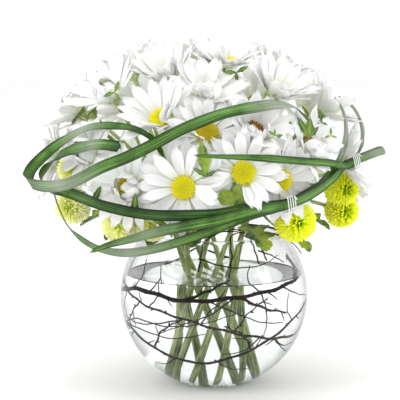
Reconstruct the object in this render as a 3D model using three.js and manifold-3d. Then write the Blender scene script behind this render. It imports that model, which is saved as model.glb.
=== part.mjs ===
// Floral table centerpiece: white daisy chrysanthemums and green button poms in a glass
// bubble bowl of water, ringed by looped grass blades that fine wire ties together, with
// bare twigs coiled inside the glass. Millimetres, +Z up. The origin is the centre of the
// bowl's flat foot, and the front of the arrangement faces -Y.

import * as THREE from 'three';
import { mergeVertices } from 'three/addons/utils/BufferGeometryUtils.js';
import Module from 'manifold-3d';

const wasm = await Module();
wasm.setup();

// Driving dimensions

const SEED = 13;                        // chosen so that every spray finds room
const GAP = 0.3;                      // clearance between pieces that touch
const CLEAR = 0.45;                   // least clearance of what is bent clear
const SEATED = 0.85;                  // widest gap between a blade of grass and its seat
const FUSED = 0.5;                    // least volume, mm3, that joined blooms share

const BOWL = {
  radius: 75,                         // outside of the bubble
  wall: 2.6,
  foot: 27,                           // radius of the flat foot
  floor: 5,                           // top of the thick glass under the water
  rim: 121,                           // height where the bubble opens
  lip: 1.6,                           // radius of the rounded rim
  sides: 24,
};
BOWL.centre = Math.sqrt(BOWL.radius ** 2 - BOWL.foot ** 2);   // height of its middle
const WATER_LEVEL = 88;
const WATER_GAP = 0.4;                // between the water and the glass

const DOME = { x: -11, z: 166, reach: 114, rise: 95 };   // surface that the blooms lie on

const STEM = {
  foot: 31,                           // distance of the cut end from the bowl's axis
  low: 9,
  head: 38,                           // distance of the fork from the bowl's axis
  high: 150,
  lean: -5,                           // how far the forks' ring lies to the left
  spiral: -115,                       // turn of a stem from its fork to its cut end, degrees
  thick: 3.2,
  thin: 2.6,
  sides: 6,
};
const BRANCH = { thick: 2, thin: 1.5, sides: 4, apart: 4.5 };
const CALYX = { radius: 5.2, depth: 2.6, neck: 9 };
const DAISY = {
  hub: 9.4,                           // radius where the petals part
  disc: 8.6,                          // radius of the yellow disc
  thickness: 1.2,
  keel: 1.2,
};
const BLADE = { thickness: 0.9, roll: 25 };

// Sprays of daisies. A bloom is placed by its direction from the dome's centre: azimuth
// from the front towards +X, elevation, and reach of its petals. slot is the azimuth of
// the spray's stem at its fork, and level lifts its blooms off the dome.

const daisySprays = [
  { name: 'front', slot: 10, level: -1, petals: 11,
    blooms: [[-6, 2, 36], [16, 8, 33], [31, 4, 32], [-27, 1, 33]] },
  { name: 'crown', slot: -26, level: -4, petals: 11,
    blooms: [[3, 27, 33], [-18, 34, 35], [4, 48, 34], [23, 27, 32], [-27, 60, 34]] },
  { name: 'right', slot: 82, level: 2, petals: 10,
    blooms: [[46, 17, 34], [75, 8, 34], [81, 33, 34], [43, 45, 35], [101, 0, 35]] },
  { name: 'left', slot: -98, level: 1, petals: 10,
    blooms: [[-54, 43, 35], [-84, 33, 34], [-92, 6, 34], [-48, 15, 34]] },
  { name: 'top', slot: 118, level: 0, petals: 10,
    blooms: [[131, 4, 34], [119, 31, 34], [98, 58, 35], [30, 70, 35], [172, 75, 36]] },
  { name: 'rear', slot: 190, level: 3, petals: 10,
    blooms: [[159, -1, 34], [187, 4, 34], [151, 34, 35], [184, 36, 35]] },
  { name: 'far', slot: 226, level: -2, petals: 10,
    blooms: [[215, -3, 34], [243, 3, 34], [217, 33, 34], [249, 31, 34], [-104, 60, 34]] },
];

// Sprays of green button poms: place of each head and its radius.

const pomSprays = [
  { name: 'left', slot: -62,
    heads: [[-106, -56, 177, 14], [-108, -50, 148, 14.5], [-70, -90, 139, 14.5], [-46, -97, 140, 13]] },
  { name: 'right', slot: 46,
    heads: [[100, -16, 157, 14.5], [101, -8, 139, 14.5], [60, -79, 140, 16.5]] },
  { name: 'rear', slot: 154,
    heads: [[48, 82, 140, 14.5], [-22, 100, 141, 15.5], [-76, 78, 141, 14.5]] },
];

// Grass blades: points on the middle line of each, and half its width. The first loops
// at the left and sweeps across the front. The next three share the low front tie, and
// the last folds back at the right tie and crosses the front level.

const blades = [
  { name: 'sweep', half: 4.4, steps: 40,
    route: [[-37, -96, 188], [-45, -104, 203], [-57, -100, 210], [-73, -90, 212], [-93, -78, 210],
      [-112, -66, 200], [-127, -58, 189], [-138, -62, 178], [-139, -77, 170], [-125, -95, 168],
      [-106, -110, 172], [-82, -114, 184], [-63, -119, 192], [-45, -122, 201], [-26, -120, 211],
      [-11, -117, 217], [7, -111, 223], [30, -102, 227], [46, -90, 228], [59, -78, 225],
      [68, -73, 217], [73, -75, 210], [74, -80, 204]] },
  { name: 'loop', half: 4.2, steps: 36,
    route: [[-69, -104, 198], [-84, -98, 199], [-99, -88, 196], [-114, -78, 190], [-125, -71, 181],
      [-130, -74, 173], [-125, -82, 166], [-112, -95, 165], [-97, -105, 161], [-80, -114, 156],
      [-47, -124, 151], [-18, -128, 151], [3, -127, 152], [25, -119, 155], [53, -106, 157],
      [73, -89, 165], [85, -73, 175], [95, -57, 188], [100, -44, 204], [99, -33, 219],
      [93, -25, 230]] },
  { name: 'hoop', half: 3.7, steps: 36,
    route: [[-123, -58, 163], [-118, -64, 149], [-110, -72, 135], [-97, -84, 126], [-82, -96, 121],
      [-64, -108, 121], [-44, -115, 125], [-22, -119, 132], [0, -120, 140], [24, -115, 149],
      [52, -104, 156], [70, -85, 163], [85, -66, 170], [91, -60, 175], [96, -55, 180],
      [107, -44, 184], [113, -35, 193], [114, -28, 207], [109, -19, 220], [97, -10, 230]] },
  { name: 'fold', half: 4.0, steps: 44,
    route: [[-92, -102, 120], [-80, -109, 126], [-62, -117, 132], [-40, -124, 139], [-18, -129, 144],
      [3, -130, 148], [25, -123, 153], [54, -108, 157], [74, -92, 164], [90, -73, 173],
      [99, -58, 180], [109, -46, 184], [118, -41, 187], [127, -39, 190], [130, -43, 190],
      [123, -47, 188], [112, -49, 184], [101, -60, 180], [92, -74, 182], [86, -82, 184],
      [64, -99, 187], [40, -111, 190], [17, -121, 192],
      [-1, -126, 193], [-16, -128, 194]] },
];

// Wire ties: middle of the bundle, direction of the blades there, and the half sizes of
// the wrap across and through the bundle.

const ties = [
  { name: 'low', at: [53, -106, 156.8], along: [46, 31, 11], across: 5.5, through: 4.1 },
  { name: 'right', at: [104, -52, 182], along: [66, 70, 27], across: 5.5, through: 5.2 },
];
const WIRE = { radius: 0.42, turns: 2.5, pitch: 1.7, corner: 0.7 };

// Twigs: the route of each runs along the inside of the glass, by azimuth and height, at
// its own distance from the wall, and comes out of the water at one end.

const twigs = [
  { name: 'upper', inset: 3.6, thick: 1.7,
    route: [[-88, 74], [-55, 81], [-20, 77], [15, 80], [48, 84], [80, 90], [108, 99]],
    shoots: [[[-20, 77], [-2, 86], [10, 93]], [[15, 80], [33, 70], [52, 64]]] },
  { name: 'lower', inset: 7.8, thick: 1.3,
    route: [[-82, 52], [-50, 37], [-12, 28], [28, 38], [62, 56], [105, 72], [150, 84], [185, 97]],
    shoots: [[[-50, 37], [-38, 52], [-22, 62]], [[28, 38], [20, 50], [6, 58]]] },
  { name: 'cross', inset: 12.5, thick: 1.1,
    route: [[78, 44], [48, 45], [14, 52], [-22, 62], [-62, 70], [-105, 80], [-150, 92], [-170, 103]],
    shoots: [[[14, 52], [24, 66], [40, 76]], [[-62, 70], [-74, 60], [-90, 46]]] },
];

// Lobed leaves: the spray that bears each, the foot of its blade, the way the blade points
// and faces, and its length. A leaf's stalk starts on its spray's fork.

const UP = [0, 0, 1];
const leaves = [
  { spray: 'front', at: [30, -111, 166], points: [-30, -6, 2], faces: [0.2, -1, 0.2], length: 28 },
  { spray: 'front', at: [-8, -78, 139], points: [-10, -30, -6], faces: UP, length: 36 },
  { spray: 'crown', at: [-30, -66, 138], points: [-20, -26, -8], faces: UP, length: 34 },
  { spray: 'right', at: [60, -16, 140], points: [30, -10, -6], faces: UP, length: 34 },
  { spray: 'left', at: [-72, -6, 140], points: [-30, -6, -4], faces: UP, length: 36 },
  { spray: 'top', at: [52, 34, 140], points: [26, 16, -6], faces: UP, length: 34 },
  { spray: 'front', at: [24, -72, 136], points: [14, -28, -8], faces: UP, length: 34 },
  { spray: 'right', at: [48, -50, 136], points: [24, -20, -8], faces: UP, length: 34 },
  { spray: 'left', at: [-58, -38, 136], points: [-26, -20, -6], faces: UP, length: 34 },
  { spray: 'rear', at: [10, 66, 140], points: [4, 30, -5], faces: UP, length: 36 },
  { spray: 'far', at: [-52, 46, 140], points: [-22, 22, -5], faces: UP, length: 34 },
];

// Finishes

function finish(color, roughness) {
  return new THREE.MeshStandardMaterial({ color, roughness, metalness: 0 });
}

const arrangement = new THREE.Group();

function addPiece(name, geometry, material) {
  const mesh = new THREE.Mesh(geometry, material);
  mesh.name = name;
  arrangement.add(mesh);
}

// Geometry helpers

const radians = THREE.MathUtils.degToRad;

function vector([x, y, z]) {
  return new THREE.Vector3(x, y, z);
}

// The same draws every time, from one seed.
THREE.MathUtils.seededRandom(SEED);
function draw(low, high) {
  return low + (high - low) * THREE.MathUtils.seededRandom();
}

// A skin of flat faces. Each face lists its corners anticlockwise as seen from outside.
function skin(corners, faces) {
  const geometry = new THREE.BufferGeometry();
  geometry.setAttribute('position',
    new THREE.Float32BufferAttribute(corners.flatMap((corner) => corner.toArray()), 3));
  const triangles = [];
  for (const face of faces) {
    for (let i = 2; i < face.length; i += 1) triangles.push(face[0], face[i - 1], face[i]);
  }
  geometry.setIndex(triangles);
  geometry.computeVertexNormals();
  return geometry;
}

// A skin through rings of corners, closed by a flat face or a single corner at each end.
// The diagonals alternate, so that the two faces of a thin blade are split alike.
function loft(rings) {
  const corners = rings.flat();
  const faces = [];
  let start = 0;
  for (let i = 0; i + 1 < rings.length; i += 1) {
    const near = rings[i].length;
    const far = rings[i + 1].length;
    const next = start + near;
    const sides = Math.max(near, far);
    for (let k = 0; k < sides; k += 1) {
      const turn = (k + 1) % sides;
      if (near === 1) faces.push([start, next + turn, next + k]);
      else if (far === 1) faces.push([start + k, start + turn, next]);
      else if (k % 2) faces.push([start + turn, next + turn, next + k, start + k]);
      else faces.push([start + k, start + turn, next + turn, next + k]);
    }
    start = next;
  }
  const first = rings[0].length;
  const last = rings[rings.length - 1].length;
  if (first > 1) faces.push(Array.from({ length: first }, (_, k) => first - 1 - k));
  if (last > 1) faces.push(Array.from({ length: last }, (_, k) => start + k));
  return skin(corners, faces);
}

function tangentAt(points, i) {
  const before = points[Math.max(i - 1, 0)];
  const after = points[Math.min(i + 1, points.length - 1)];
  return after.clone().sub(before).normalize();
}

// A round rod along points, with a radius at each.
function rod(points, radii, sides) {
  let side = new THREE.Vector3(0.31, 0.17, 0.94);
  const rings = points.map((point, i) => {
    const along = tangentAt(points, i);
    side = side.clone().addScaledVector(along, -side.dot(along)).normalize();
    const up = along.clone().cross(side);
    return Array.from({ length: sides }, (_, k) => {
      const turn = (2 * Math.PI * k) / sides;
      return point.clone()
        .addScaledVector(side, radii[i] * Math.cos(turn))
        .addScaledVector(up, radii[i] * Math.sin(turn));
    });
  });
  return loft(rings);
}

function solidOf(geometry) {
  const bare = geometry.clone();
  bare.deleteAttribute('normal');
  bare.deleteAttribute('uv');
  const merged = mergeVertices(bare, 1e-4);
  return new wasm.Manifold(new wasm.Mesh({
    numProp: 3,
    vertProperties: new Float32Array(merged.attributes.position.array),
    triVerts: new Uint32Array(merged.index.array),
  }));
}

function geometryOf(solid) {
  const mesh = solid.getMesh();
  const geometry = new THREE.BufferGeometry();
  geometry.setAttribute('position', new THREE.BufferAttribute(mesh.vertProperties, 3));
  geometry.setIndex(new THREE.BufferAttribute(mesh.triVerts, 1));
  geometry.computeVertexNormals();
  return geometry;
}

function joined(solids) {
  return solids.reduce((whole, solid) => whole.add(solid));
}

// What is already in its place, so that the next piece can be bent clear of it.
const placed = [];

function boxOf(geometry) {
  geometry.computeBoundingBox();
  return geometry.boundingBox.clone().expandByScalar(CLEAR);
}

function place(owner, geometry) {
  placed.push({ owner, box: boxOf(geometry), solid: solidOf(geometry) });
}

function isClear(geometry, own, gap = CLEAR) {
  const box = boxOf(geometry);
  const near = placed.filter((other) => !own.includes(other.owner) && other.box.intersectsBox(box));
  if (near.length === 0) return true;
  const solid = solidOf(geometry);
  return near.every((other) => solid.minGap(other.solid, gap) >= gap);
}

// Glass bubble bowl

function wallRadius(radius, z) {
  return Math.sqrt(radius ** 2 - (z - BOWL.centre) ** 2);
}

// Points of a bubble's side between two heights of the glass, at even angles. inward
// moves them towards the bubble's centre.
function bubbleArc(radius, from, to, steps, inward = 0) {
  const start = Math.asin((from - BOWL.centre) / radius);
  const end = Math.asin((to - BOWL.centre) / radius);
  return Array.from({ length: steps + 1 }, (_, i) => {
    const turn = start + ((end - start) * i) / steps;
    const reach = radius - inward;
    return new THREE.Vector2(reach * Math.cos(turn), BOWL.centre + reach * Math.sin(turn));
  });
}

const innerRadius = BOWL.radius - BOWL.wall;
const BOWL_STEPS = { outside: 8, wet: 5, dry: 2 };

function lathe(profile, sides) {
  const geometry = new THREE.LatheGeometry(profile, sides);
  geometry.rotateX(Math.PI / 2);
  return geometry;
}

function bowlGeometry() {
  const outside = bubbleArc(BOWL.radius, 0, BOWL.rim, BOWL_STEPS.outside);
  const inside = [
    ...bubbleArc(innerRadius, BOWL.floor, WATER_LEVEL, BOWL_STEPS.wet),
    ...bubbleArc(innerRadius, WATER_LEVEL, BOWL.rim, BOWL_STEPS.dry).slice(1),
  ].reverse();
  const lipCentre = (outside[outside.length - 1].x + inside[0].x) / 2;
  const lip = [60, 120].map((degrees) => new THREE.Vector2(
    lipCentre + BOWL.lip * Math.cos(radians(degrees)),
    BOWL.rim + BOWL.lip * Math.sin(radians(degrees)),
  ));
  const profile = [new THREE.Vector2(0, 0), ...outside, ...lip, ...inside,
    new THREE.Vector2(0, BOWL.floor)];
  return lathe(profile, BOWL.sides);
}

// Stems

function onRing(x, radius, azimuth, z) {
  const turn = radians(azimuth);
  return new THREE.Vector3(x + radius * Math.sin(turn), -radius * Math.cos(turn), z);
}

// A stem is a straight line from its fork to its cut end, a part of a turn further round,
// so that all of them cross in a narrow waist, as in a spiral hand-tied bunch.
function stemLine(slot) {
  const low = onRing(0, STEM.foot, slot + STEM.spiral, STEM.low);
  const high = onRing(STEM.lean, STEM.head, slot, STEM.high);
  return { low, high, along: high.clone().sub(low).normalize() };
}

function stemGeometry(slot, extra = 0) {
  const { low, high, along } = stemLine(slot);
  const foot = low.clone().addScaledVector(along, -extra);
  return rod([foot, high], [STEM.thick + extra, STEM.thin + extra], STEM.sides);
}

// A side branch from the fork to a head, where it widens into the calyx.
function branchGeometry(slot, head, axis, bend, withCalyx) {
  const { high, along } = stemLine(slot);
  const start = high.clone().addScaledVector(along, -bend.below);
  const end = head.clone().addScaledVector(axis, withCalyx ? -CALYX.neck : -2);
  const span = end.distanceTo(start);
  const curve = new THREE.CubicBezierCurve3(
    start,
    start.clone().addScaledVector(along, span * bend.out).add(bend.shift),
    end.clone().addScaledVector(axis, -span * bend.back).add(bend.shift),
    end,
  );
  const points = curve.getPoints(2);
  const radii = [BRANCH.thick, BRANCH.thin, BRANCH.thin];
  if (withCalyx) {
    points.push(head.clone().addScaledVector(axis, -DAISY.thickness * 0.75 - CALYX.depth));
    radii.push(CALYX.radius);
    points.push(head.clone().addScaledVector(axis, -DAISY.thickness * 0.75 - GAP));
    radii.push(CALYX.radius * 0.9);
  }
  return rod(points, radii, BRANCH.sides);
}

// Different bows of a branch, gentlest first, and forks further down the stem.
const bends = [];
for (const size of [0, 9, 16, 24]) {
  for (const below of [4, 10, 16]) {
    for (const out of [0.3, 0.15, 0.5]) {
      for (const back of [0.3, 0.15, 0.5]) {
        for (const turn of size ? [0, 60, 120, 180, 240, 300] : [0]) {
          bends.push({ below, out, back, shift: onRing(0, size, turn, 0) });
        }
      }
    }
  }
}

const troubles = [];

function clearBranch(owner, slot, { position, axis, hub, order }) {
  for (const bend of bends) {
    const lower = { ...bend, below: bend.below + BRANCH.apart * order };
    const geometry = branchGeometry(slot, position, axis, lower, Boolean(hub));
    if (isClear(geometry, [owner, hub])) return geometry;
  }
  troubles.push(`branch of ${owner} to ${position.toArray().map(Math.round)}`);
  return branchGeometry(slot, position, axis, bends[0], Boolean(hub));
}

// Grass blades

// A blade shows a flat face outwards, and rolls where its route turns, so that it bends
// about its width. The face carries on through a fold, and comes out of it turned over.
function bladeGeometry({ route, half, steps }) {
  const curve = new THREE.CatmullRomCurve3(route.map(vector), false, 'centripetal');
  curve.arcLengthDivisions = 600;
  const points = curve.getSpacedPoints(steps);
  const middle = new THREE.Vector3(DOME.x, 0, DOME.z);
  let face = points[0].clone().sub(middle).normalize();
  const sameSide = (direction) => (direction.dot(face) < 0 ? direction.negate() : direction);
  const rings = points.map((point, i) => {
    if (i === 0 || i === steps) return [point];
    const along = tangentAt(points, i);
    const before = point.clone().sub(points[i - 1]).normalize();
    const after = points[i + 1].clone().sub(point).normalize();
    const turn = after.sub(before).multiplyScalar(BLADE.roll / point.distanceTo(points[i + 1]));
    const outward = point.clone().sub(middle).normalize();
    const next = sameSide(outward).add(sameSide(turn));
    face = next.addScaledVector(along, -next.dot(along)).normalize();
    const across = face.clone().cross(along);
    const toEnd = Math.min(i, steps - i) / steps;
    const width = half * Math.min(1, 0.35 + toEnd * 5);
    const thick = BLADE.thickness / 2;
    return [
      point.clone().addScaledVector(across, -width),
      point.clone().addScaledVector(face, -thick),
      point.clone().addScaledVector(across, width),
      point.clone().addScaledVector(face, thick),
    ];
  });
  return loft(rings);
}

// Wire wound round the bundle, with its two ends left standing.
function tieGeometry({ at, along, across, through }) {
  const centre = vector(at);
  const run = vector(along).normalize();
  const out = centre.clone().sub(new THREE.Vector3(DOME.x, 0, DOME.z));
  out.addScaledVector(run, -out.dot(run)).normalize();
  const side = run.clone().cross(out);
  const wide = across - WIRE.corner;
  const deep = through - WIRE.corner;
  const lap = [[across, -deep], [across, deep], [wide, through], [-wide, through],
    [-across, deep], [-across, -deep], [-wide, -through], [wide, -through]];
  const steps = WIRE.turns * lap.length;
  const points = Array.from({ length: steps + 1 }, (_, i) => centre.clone()
    .addScaledVector(run, WIRE.pitch * WIRE.turns * (i / steps - 0.5))
    .addScaledVector(side, lap[i % lap.length][0])
    .addScaledVector(out, lap[i % lap.length][1]));
  return rod(points, points.map(() => WIRE.radius), 3);
}

// Twigs

function twigRod(points, inset, from, to, extra) {
  const curve = new THREE.CatmullRomCurve3(points.map(([azimuth, z]) => (
    onRing(0, wallRadius(innerRadius, z) - inset, azimuth, z))), false, 'centripetal');
  const steps = 2 * (points.length - 1);
  const line = curve.getPoints(steps);
  const radii = line.map((_, i) => from + ((to - from) * i) / steps + extra);
  line[0].addScaledVector(tangentAt(line, 0), -extra);
  line[steps].addScaledVector(tangentAt(line, steps), extra);
  return rod(line, radii, 4);
}

function twigSolid({ route, shoots, inset, thick }, extra = 0) {
  const rods = [twigRod(route, inset, thick, thick * 0.75, extra)];
  for (const shoot of shoots) rods.push(twigRod(shoot, inset, thick * 0.75, thick * 0.55, extra));
  return joined(rods.map(solidOf));
}

// Lobed leaves

const LEAF_OUTLINE = [[0.1, 0.07], [0.3, 0.4], [0.4, 0.15], [0.64, 0.4], [0.7, 0.14], [0.88, 0.2]];
const LEAF_RIB = [0.36, 0.68];

// A leaf on its stalk. The blade is thickest along the rib, droops to its tip and folds up
// a little along the rib.
function leafGeometries(slot, { at, points, faces: facing, length }, nudge) {
  const { high, along } = stemLine(slot);
  const base = vector(at).add(nudge);
  const run = vector(points).normalize();
  const side = run.clone().cross(vector(facing)).normalize();
  const up = side.clone().cross(run);
  const spot = (forward, across, lift) => base.clone()
    .addScaledVector(run, length * forward)
    .addScaledVector(side, length * across)
    .addScaledVector(up, length * (0.25 * Math.abs(across) - 0.22 * forward ** 2) + lift);
  const corners = [spot(0, 0, 0), spot(1, 0, 0)];
  for (const rib of LEAF_RIB) {
    corners.push(spot(rib, 0, 0.5), spot(rib, 0, -0.5));
  }
  const faces = [];
  for (const hand of [1, -1]) {
    const first = corners.length;
    for (const [forward, across] of LEAF_OUTLINE) corners.push(spot(forward, hand * across, 0));
    const edge = (k) => first + k;
    const half = (low, high2) => [
      [0, edge(0), low], [edge(0), edge(1), low], [edge(1), edge(2), low],
      [low, edge(2), high2], [edge(2), edge(3), high2], [edge(3), edge(4), high2],
      [high2, edge(4), 1], [edge(4), edge(5), 1],
    ];
    for (const face of half(2, 4)) faces.push(hand > 0 ? face : face.slice().reverse());
    for (const face of half(3, 5)) faces.push(hand > 0 ? face.slice().reverse() : face);
  }
  const stalkEnd = spot(0.16, 0, 0);
  const curve = new THREE.QuadraticBezierCurve3(
    high.clone().addScaledVector(along, -3),
    base.clone().addScaledVector(run, -length * 0.35),
    stalkEnd,
  );
  const stalk = rod(curve.getPoints(2), [1.5, 1.1, 0.7], BRANCH.sides);
  return [skin(corners, faces), stalk];
}

// Daisies

function headFrame(position, axis) {
  const side = new THREE.Vector3(0.2, 0.1, 1).cross(axis).normalize();
  const up = axis.clone().cross(side);
  return new THREE.Matrix4().makeBasis(side, up, axis).setPosition(position);
}

// Place and facing of a bloom on the dome. Each leans a little its own way.
function bloomFrame([azimuth, elevation], level) {
  const around = radians(azimuth);
  const rise = radians(elevation);
  const out = new THREE.Vector3(
    Math.cos(rise) * Math.sin(around),
    -Math.cos(rise) * Math.cos(around),
    Math.sin(rise),
  );
  const axis = new THREE.Vector3(out.x / DOME.reach, out.y / DOME.reach, out.z / DOME.rise)
    .normalize()
    .add(new THREE.Vector3(draw(-0.1, 0.1), draw(-0.1, 0.1), draw(-0.04, 0.14)))
    .normalize();
  const position = new THREE.Vector3(
    DOME.x + DOME.reach * out.x,
    DOME.reach * out.y,
    DOME.z + DOME.rise * out.z,
  ).addScaledVector(axis, level);
  return { position, axis, matrix: headFrame(position, axis) };
}

const DISC_SIDES = 10;

// A dome of florets over a flat back, dimpled in the middle.
function discGeometry(matrix) {
  const back = DAISY.thickness * 0.25 + GAP;
  const corners = [new THREE.Vector3(0, 0, back), new THREE.Vector3(0, 0, back + 3.2)];
  const faces = [];
  for (let k = 0; k < DISC_SIDES; k += 1) {
    const turn = (2 * Math.PI * k) / DISC_SIDES;
    const bump = k % 2 ? 0.5 : -0.5;
    const rim = DAISY.disc + (k % 2 ? -0.5 : 0);
    corners.push(new THREE.Vector3(rim * Math.cos(turn), rim * Math.sin(turn), back));
    corners.push(new THREE.Vector3(
      0.58 * DAISY.disc * Math.cos(turn),
      0.58 * DAISY.disc * Math.sin(turn),
      back + 3.9 + bump,
    ));
    const rimNow = 2 + 2 * k;
    const rimNext = 2 + 2 * ((k + 1) % DISC_SIDES);
    faces.push([0, rimNext, rimNow], [rimNow, rimNext, rimNext + 1, rimNow + 1],
      [rimNow + 1, rimNext + 1, 1]);
  }
  return skin(corners.map((corner) => corner.applyMatrix4(matrix)), faces);
}

// Where a bloom's petals stand, drawn once for the bloom.
function petalPlan(petals, reach) {
  const start = draw(0, 2 * Math.PI);
  return Array.from({ length: petals }, (_, k) => ({
    turn: start + (2 * Math.PI * (k + draw(-0.06, 0.06))) / petals,
    reach: reach * draw(0.93, 1.03),
    lift: draw(-4, 12),
    curl: draw(-3, 1),
    twist: draw(-0.8, 0.8),
  }));
}

// Corners of one petal: two top and two back corners at the hub, then both edges at the
// middle and the shoulder, the tip, and the keel under the middle and the shoulder.
const PETAL_FACES = [
  [0, 5, 4, 1], [5, 7, 6, 4], [7, 8, 6],
  [2, 3, 9], [2, 9, 5], [3, 4, 9], [5, 9, 10, 7], [9, 4, 6, 10], [7, 10, 8], [10, 6, 8],
  [0, 2, 5], [1, 4, 3],
];
const PETAL_BACK = [0, 1, 3, 2];

function petalCorners(plan, k) {
  const count = plan.length;
  const petal = plan[k];
  const before = plan[(k + count - 1) % count].turn - (k === 0 ? 2 * Math.PI : 0);
  const after = plan[(k + 1) % count].turn + (k === count - 1 ? 2 * Math.PI : 0);
  const top = DAISY.thickness * 0.25;
  const back = -DAISY.thickness * 0.75;
  const valley = (turn, z) => new THREE.Vector3(
    DAISY.hub * Math.cos(turn), DAISY.hub * Math.sin(turn), z);
  const length = petal.reach - DAISY.hub;
  const lift = radians(petal.lift);
  const spot = (share, across, drop) => {
    const run = DAISY.hub + length * share * Math.cos(lift);
    const rise = length * share * Math.sin(lift) + petal.curl * share ** 2;
    return new THREE.Vector3(
      run * Math.cos(petal.turn) - across * Math.sin(petal.turn),
      run * Math.sin(petal.turn) + across * Math.cos(petal.turn),
      rise - drop + (petal.twist * share * across) / 5,
    );
  };
  const middle = 0.125 * petal.reach;
  const shoulder = 0.145 * petal.reach;
  return [
    valley((before + petal.turn) / 2, top), valley((petal.turn + after) / 2, top),
    valley((before + petal.turn) / 2, back), valley((petal.turn + after) / 2, back),
    spot(0.36, middle, 0), spot(0.36, -middle, 0),
    spot(0.8, shoulder, 0), spot(0.8, -shoulder, 0),
    spot(1, 0, 0), spot(0.36, 0, DAISY.keel), spot(0.8, 0, DAISY.keel * 0.8),
  ];
}

// One petal by itself, to try whether it is clear of what is near.
function petalGeometry(plan, k, matrix) {
  const corners = petalCorners(plan, k).map((corner) => corner.applyMatrix4(matrix));
  return skin(corners, [...PETAL_FACES, PETAL_BACK]);
}

// All petals of a bloom as one skin round its hub. A petal with no room leaves a bare rim.
function rosetteGeometry(plan, matrix) {
  const corners = [
    new THREE.Vector3(0, 0, DAISY.thickness * 0.25),
    new THREE.Vector3(0, 0, -DAISY.thickness * 0.75),
  ];
  const faces = [];
  plan.forEach((petal, k) => {
    const first = corners.length;
    corners.push(...petalCorners(plan, k));
    faces.push([0, first, first + 1], [1, first + 3, first + 2]);
    if (petal.bare) faces.push([first, first + 2, first + 3, first + 1]);
    else faces.push(...PETAL_FACES.map((face) => face.map((corner) => first + corner)));
  });
  return skin(corners.map((corner) => corner.applyMatrix4(matrix)), faces);
}

const LIFTS = [0, 7, -7, 14, -14, 21, -21, 28, -28, 36, -36];
const SHARES = [1, 0.85, 0.7, 0.55];

function clearPetals(plan, matrix, own) {
  plan.forEach((petal, k) => {
    const { lift, reach } = petal;
    for (const share of SHARES) {
      for (const step of LIFTS) {
        petal.lift = lift + step;
        petal.reach = reach * share;
        if (isClear(petalGeometry(plan, k, matrix), own)) return;
      }
    }
    petal.bare = true;
  });
}

// Lifts one petal until a grass blade rests on it.
function holdUp(blade, heads) {
  for (const head of heads) {
    for (let k = 0; k < head.plan.length; k += 1) {
      const petal = head.plan[k];
      const kept = petal.lift;
      for (let more = 0; more <= 16 && !petal.bare; more += 1) {
        petal.lift = kept + more;
        const geometry = petalGeometry(head.plan, k, head.matrix);
        if (!isClear(geometry, [head.hub, head.disc])) break;
        if (solidOf(geometry).minGap(blade.solid, SEATED) < SEATED) {
          head.bloom = solidOf(rosetteGeometry(head.plan, head.matrix));
          return true;
        }
      }
      petal.lift = kept;
    }
  }
  return false;
}

// Brings one petal of a bloom against another bloom of its spray.
function reachOut(head, target, own) {
  for (const share of [1, 1.1, 1.2]) {
    for (let k = 0; k < head.plan.length; k += 1) {
      const petal = head.plan[k];
      const kept = { ...petal };
      petal.bare = false;
      petal.reach = Math.min(kept.reach, head.reach) * share;
      for (let lift = -56; lift <= 56; lift += 4) {
        petal.lift = lift;
        const geometry = petalGeometry(head.plan, k, head.matrix);
        if (!isClear(geometry, [...own, head.disc])) continue;
        if (solidOf(geometry).intersect(target.bloom).volume() > FUSED) {
          head.bloom = solidOf(rosetteGeometry(head.plan, head.matrix));
          return true;
        }
      }
      Object.assign(petal, kept);
    }
  }
  return false;
}

// The blooms of a spray that hold together with its first one.
function heldTogether(heads) {
  const held = [heads[0]];
  for (const head of held) {
    for (const other of heads) {
      if (held.includes(other)) continue;
      if (head.bloom.intersect(other.bloom).volume() > FUSED) held.push(other);
    }
  }
  return held;
}

// Joins the blooms of a spray into one body, the nearest pairs first.
function joinBlooms(heads, own) {
  for (let held = heldTogether(heads); held.length < heads.length; held = heldTogether(heads)) {
    const pairs = [];
    for (const head of held) {
      for (const other of heads) {
        if (!held.includes(other)) pairs.push([head, other], [other, head]);
      }
    }
    const apart = ([a, b]) => a.position.distanceTo(b.position);
    pairs.sort((a, b) => apart(a) - apart(b));
    if (!pairs.some(([a, b]) => reachOut(a, b, own))) return false;
  }
  return true;
}

// Button poms

const POM_ROWS = [24, 54, 84, 114];
const POM_SIDES = 9;

// A core that rows of short florets stand out of, each a four-sided point.
function pomGeometry(matrix, radius) {
  const core = 0.76 * radius;
  const spot = (polar, turn, reach) => new THREE.Vector3(
    reach * Math.sin(radians(polar)) * Math.cos(turn),
    reach * Math.sin(radians(polar)) * Math.sin(turn),
    reach * Math.cos(radians(polar)),
  );
  const corners = [spot(0, 0, core), spot(180, 0, core * 0.7)];
  const faces = [];
  const step = (2 * Math.PI) / POM_SIDES;
  POM_ROWS.forEach((polar, row) => {
    for (let k = 0; k < POM_SIDES; k += 1) corners.push(spot(polar, step * (k + row / 2), core));
  });
  const ringCorner = (row, k) => 2 + row * POM_SIDES + ((k + POM_SIDES) % POM_SIDES);
  for (let k = 0; k < POM_SIDES; k += 1) {
    faces.push([0, ringCorner(0, k), ringCorner(0, k + 1)]);
    faces.push([1, ringCorner(3, k + 1), ringCorner(3, k)]);
    for (let row = 0; row < 3; row += 1) {
      const square = [ringCorner(row, k), ringCorner(row + 1, k), ringCorner(row + 1, k + 1),
        ringCorner(row, k + 1)];
      const tip = corners.length;
      const polar = (POM_ROWS[row] + POM_ROWS[row + 1]) / 2 + 6;
      corners.push(spot(polar, step * (k + row / 2 + 0.75), radius * draw(0.94, 1.05)));
      square.forEach((corner, i) => faces.push([corner, square[(i + 1) % 4], tip]));
    }
  }
  return skin(corners.map((corner) => corner.applyMatrix4(matrix)), faces);
}

// Assembly

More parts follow.
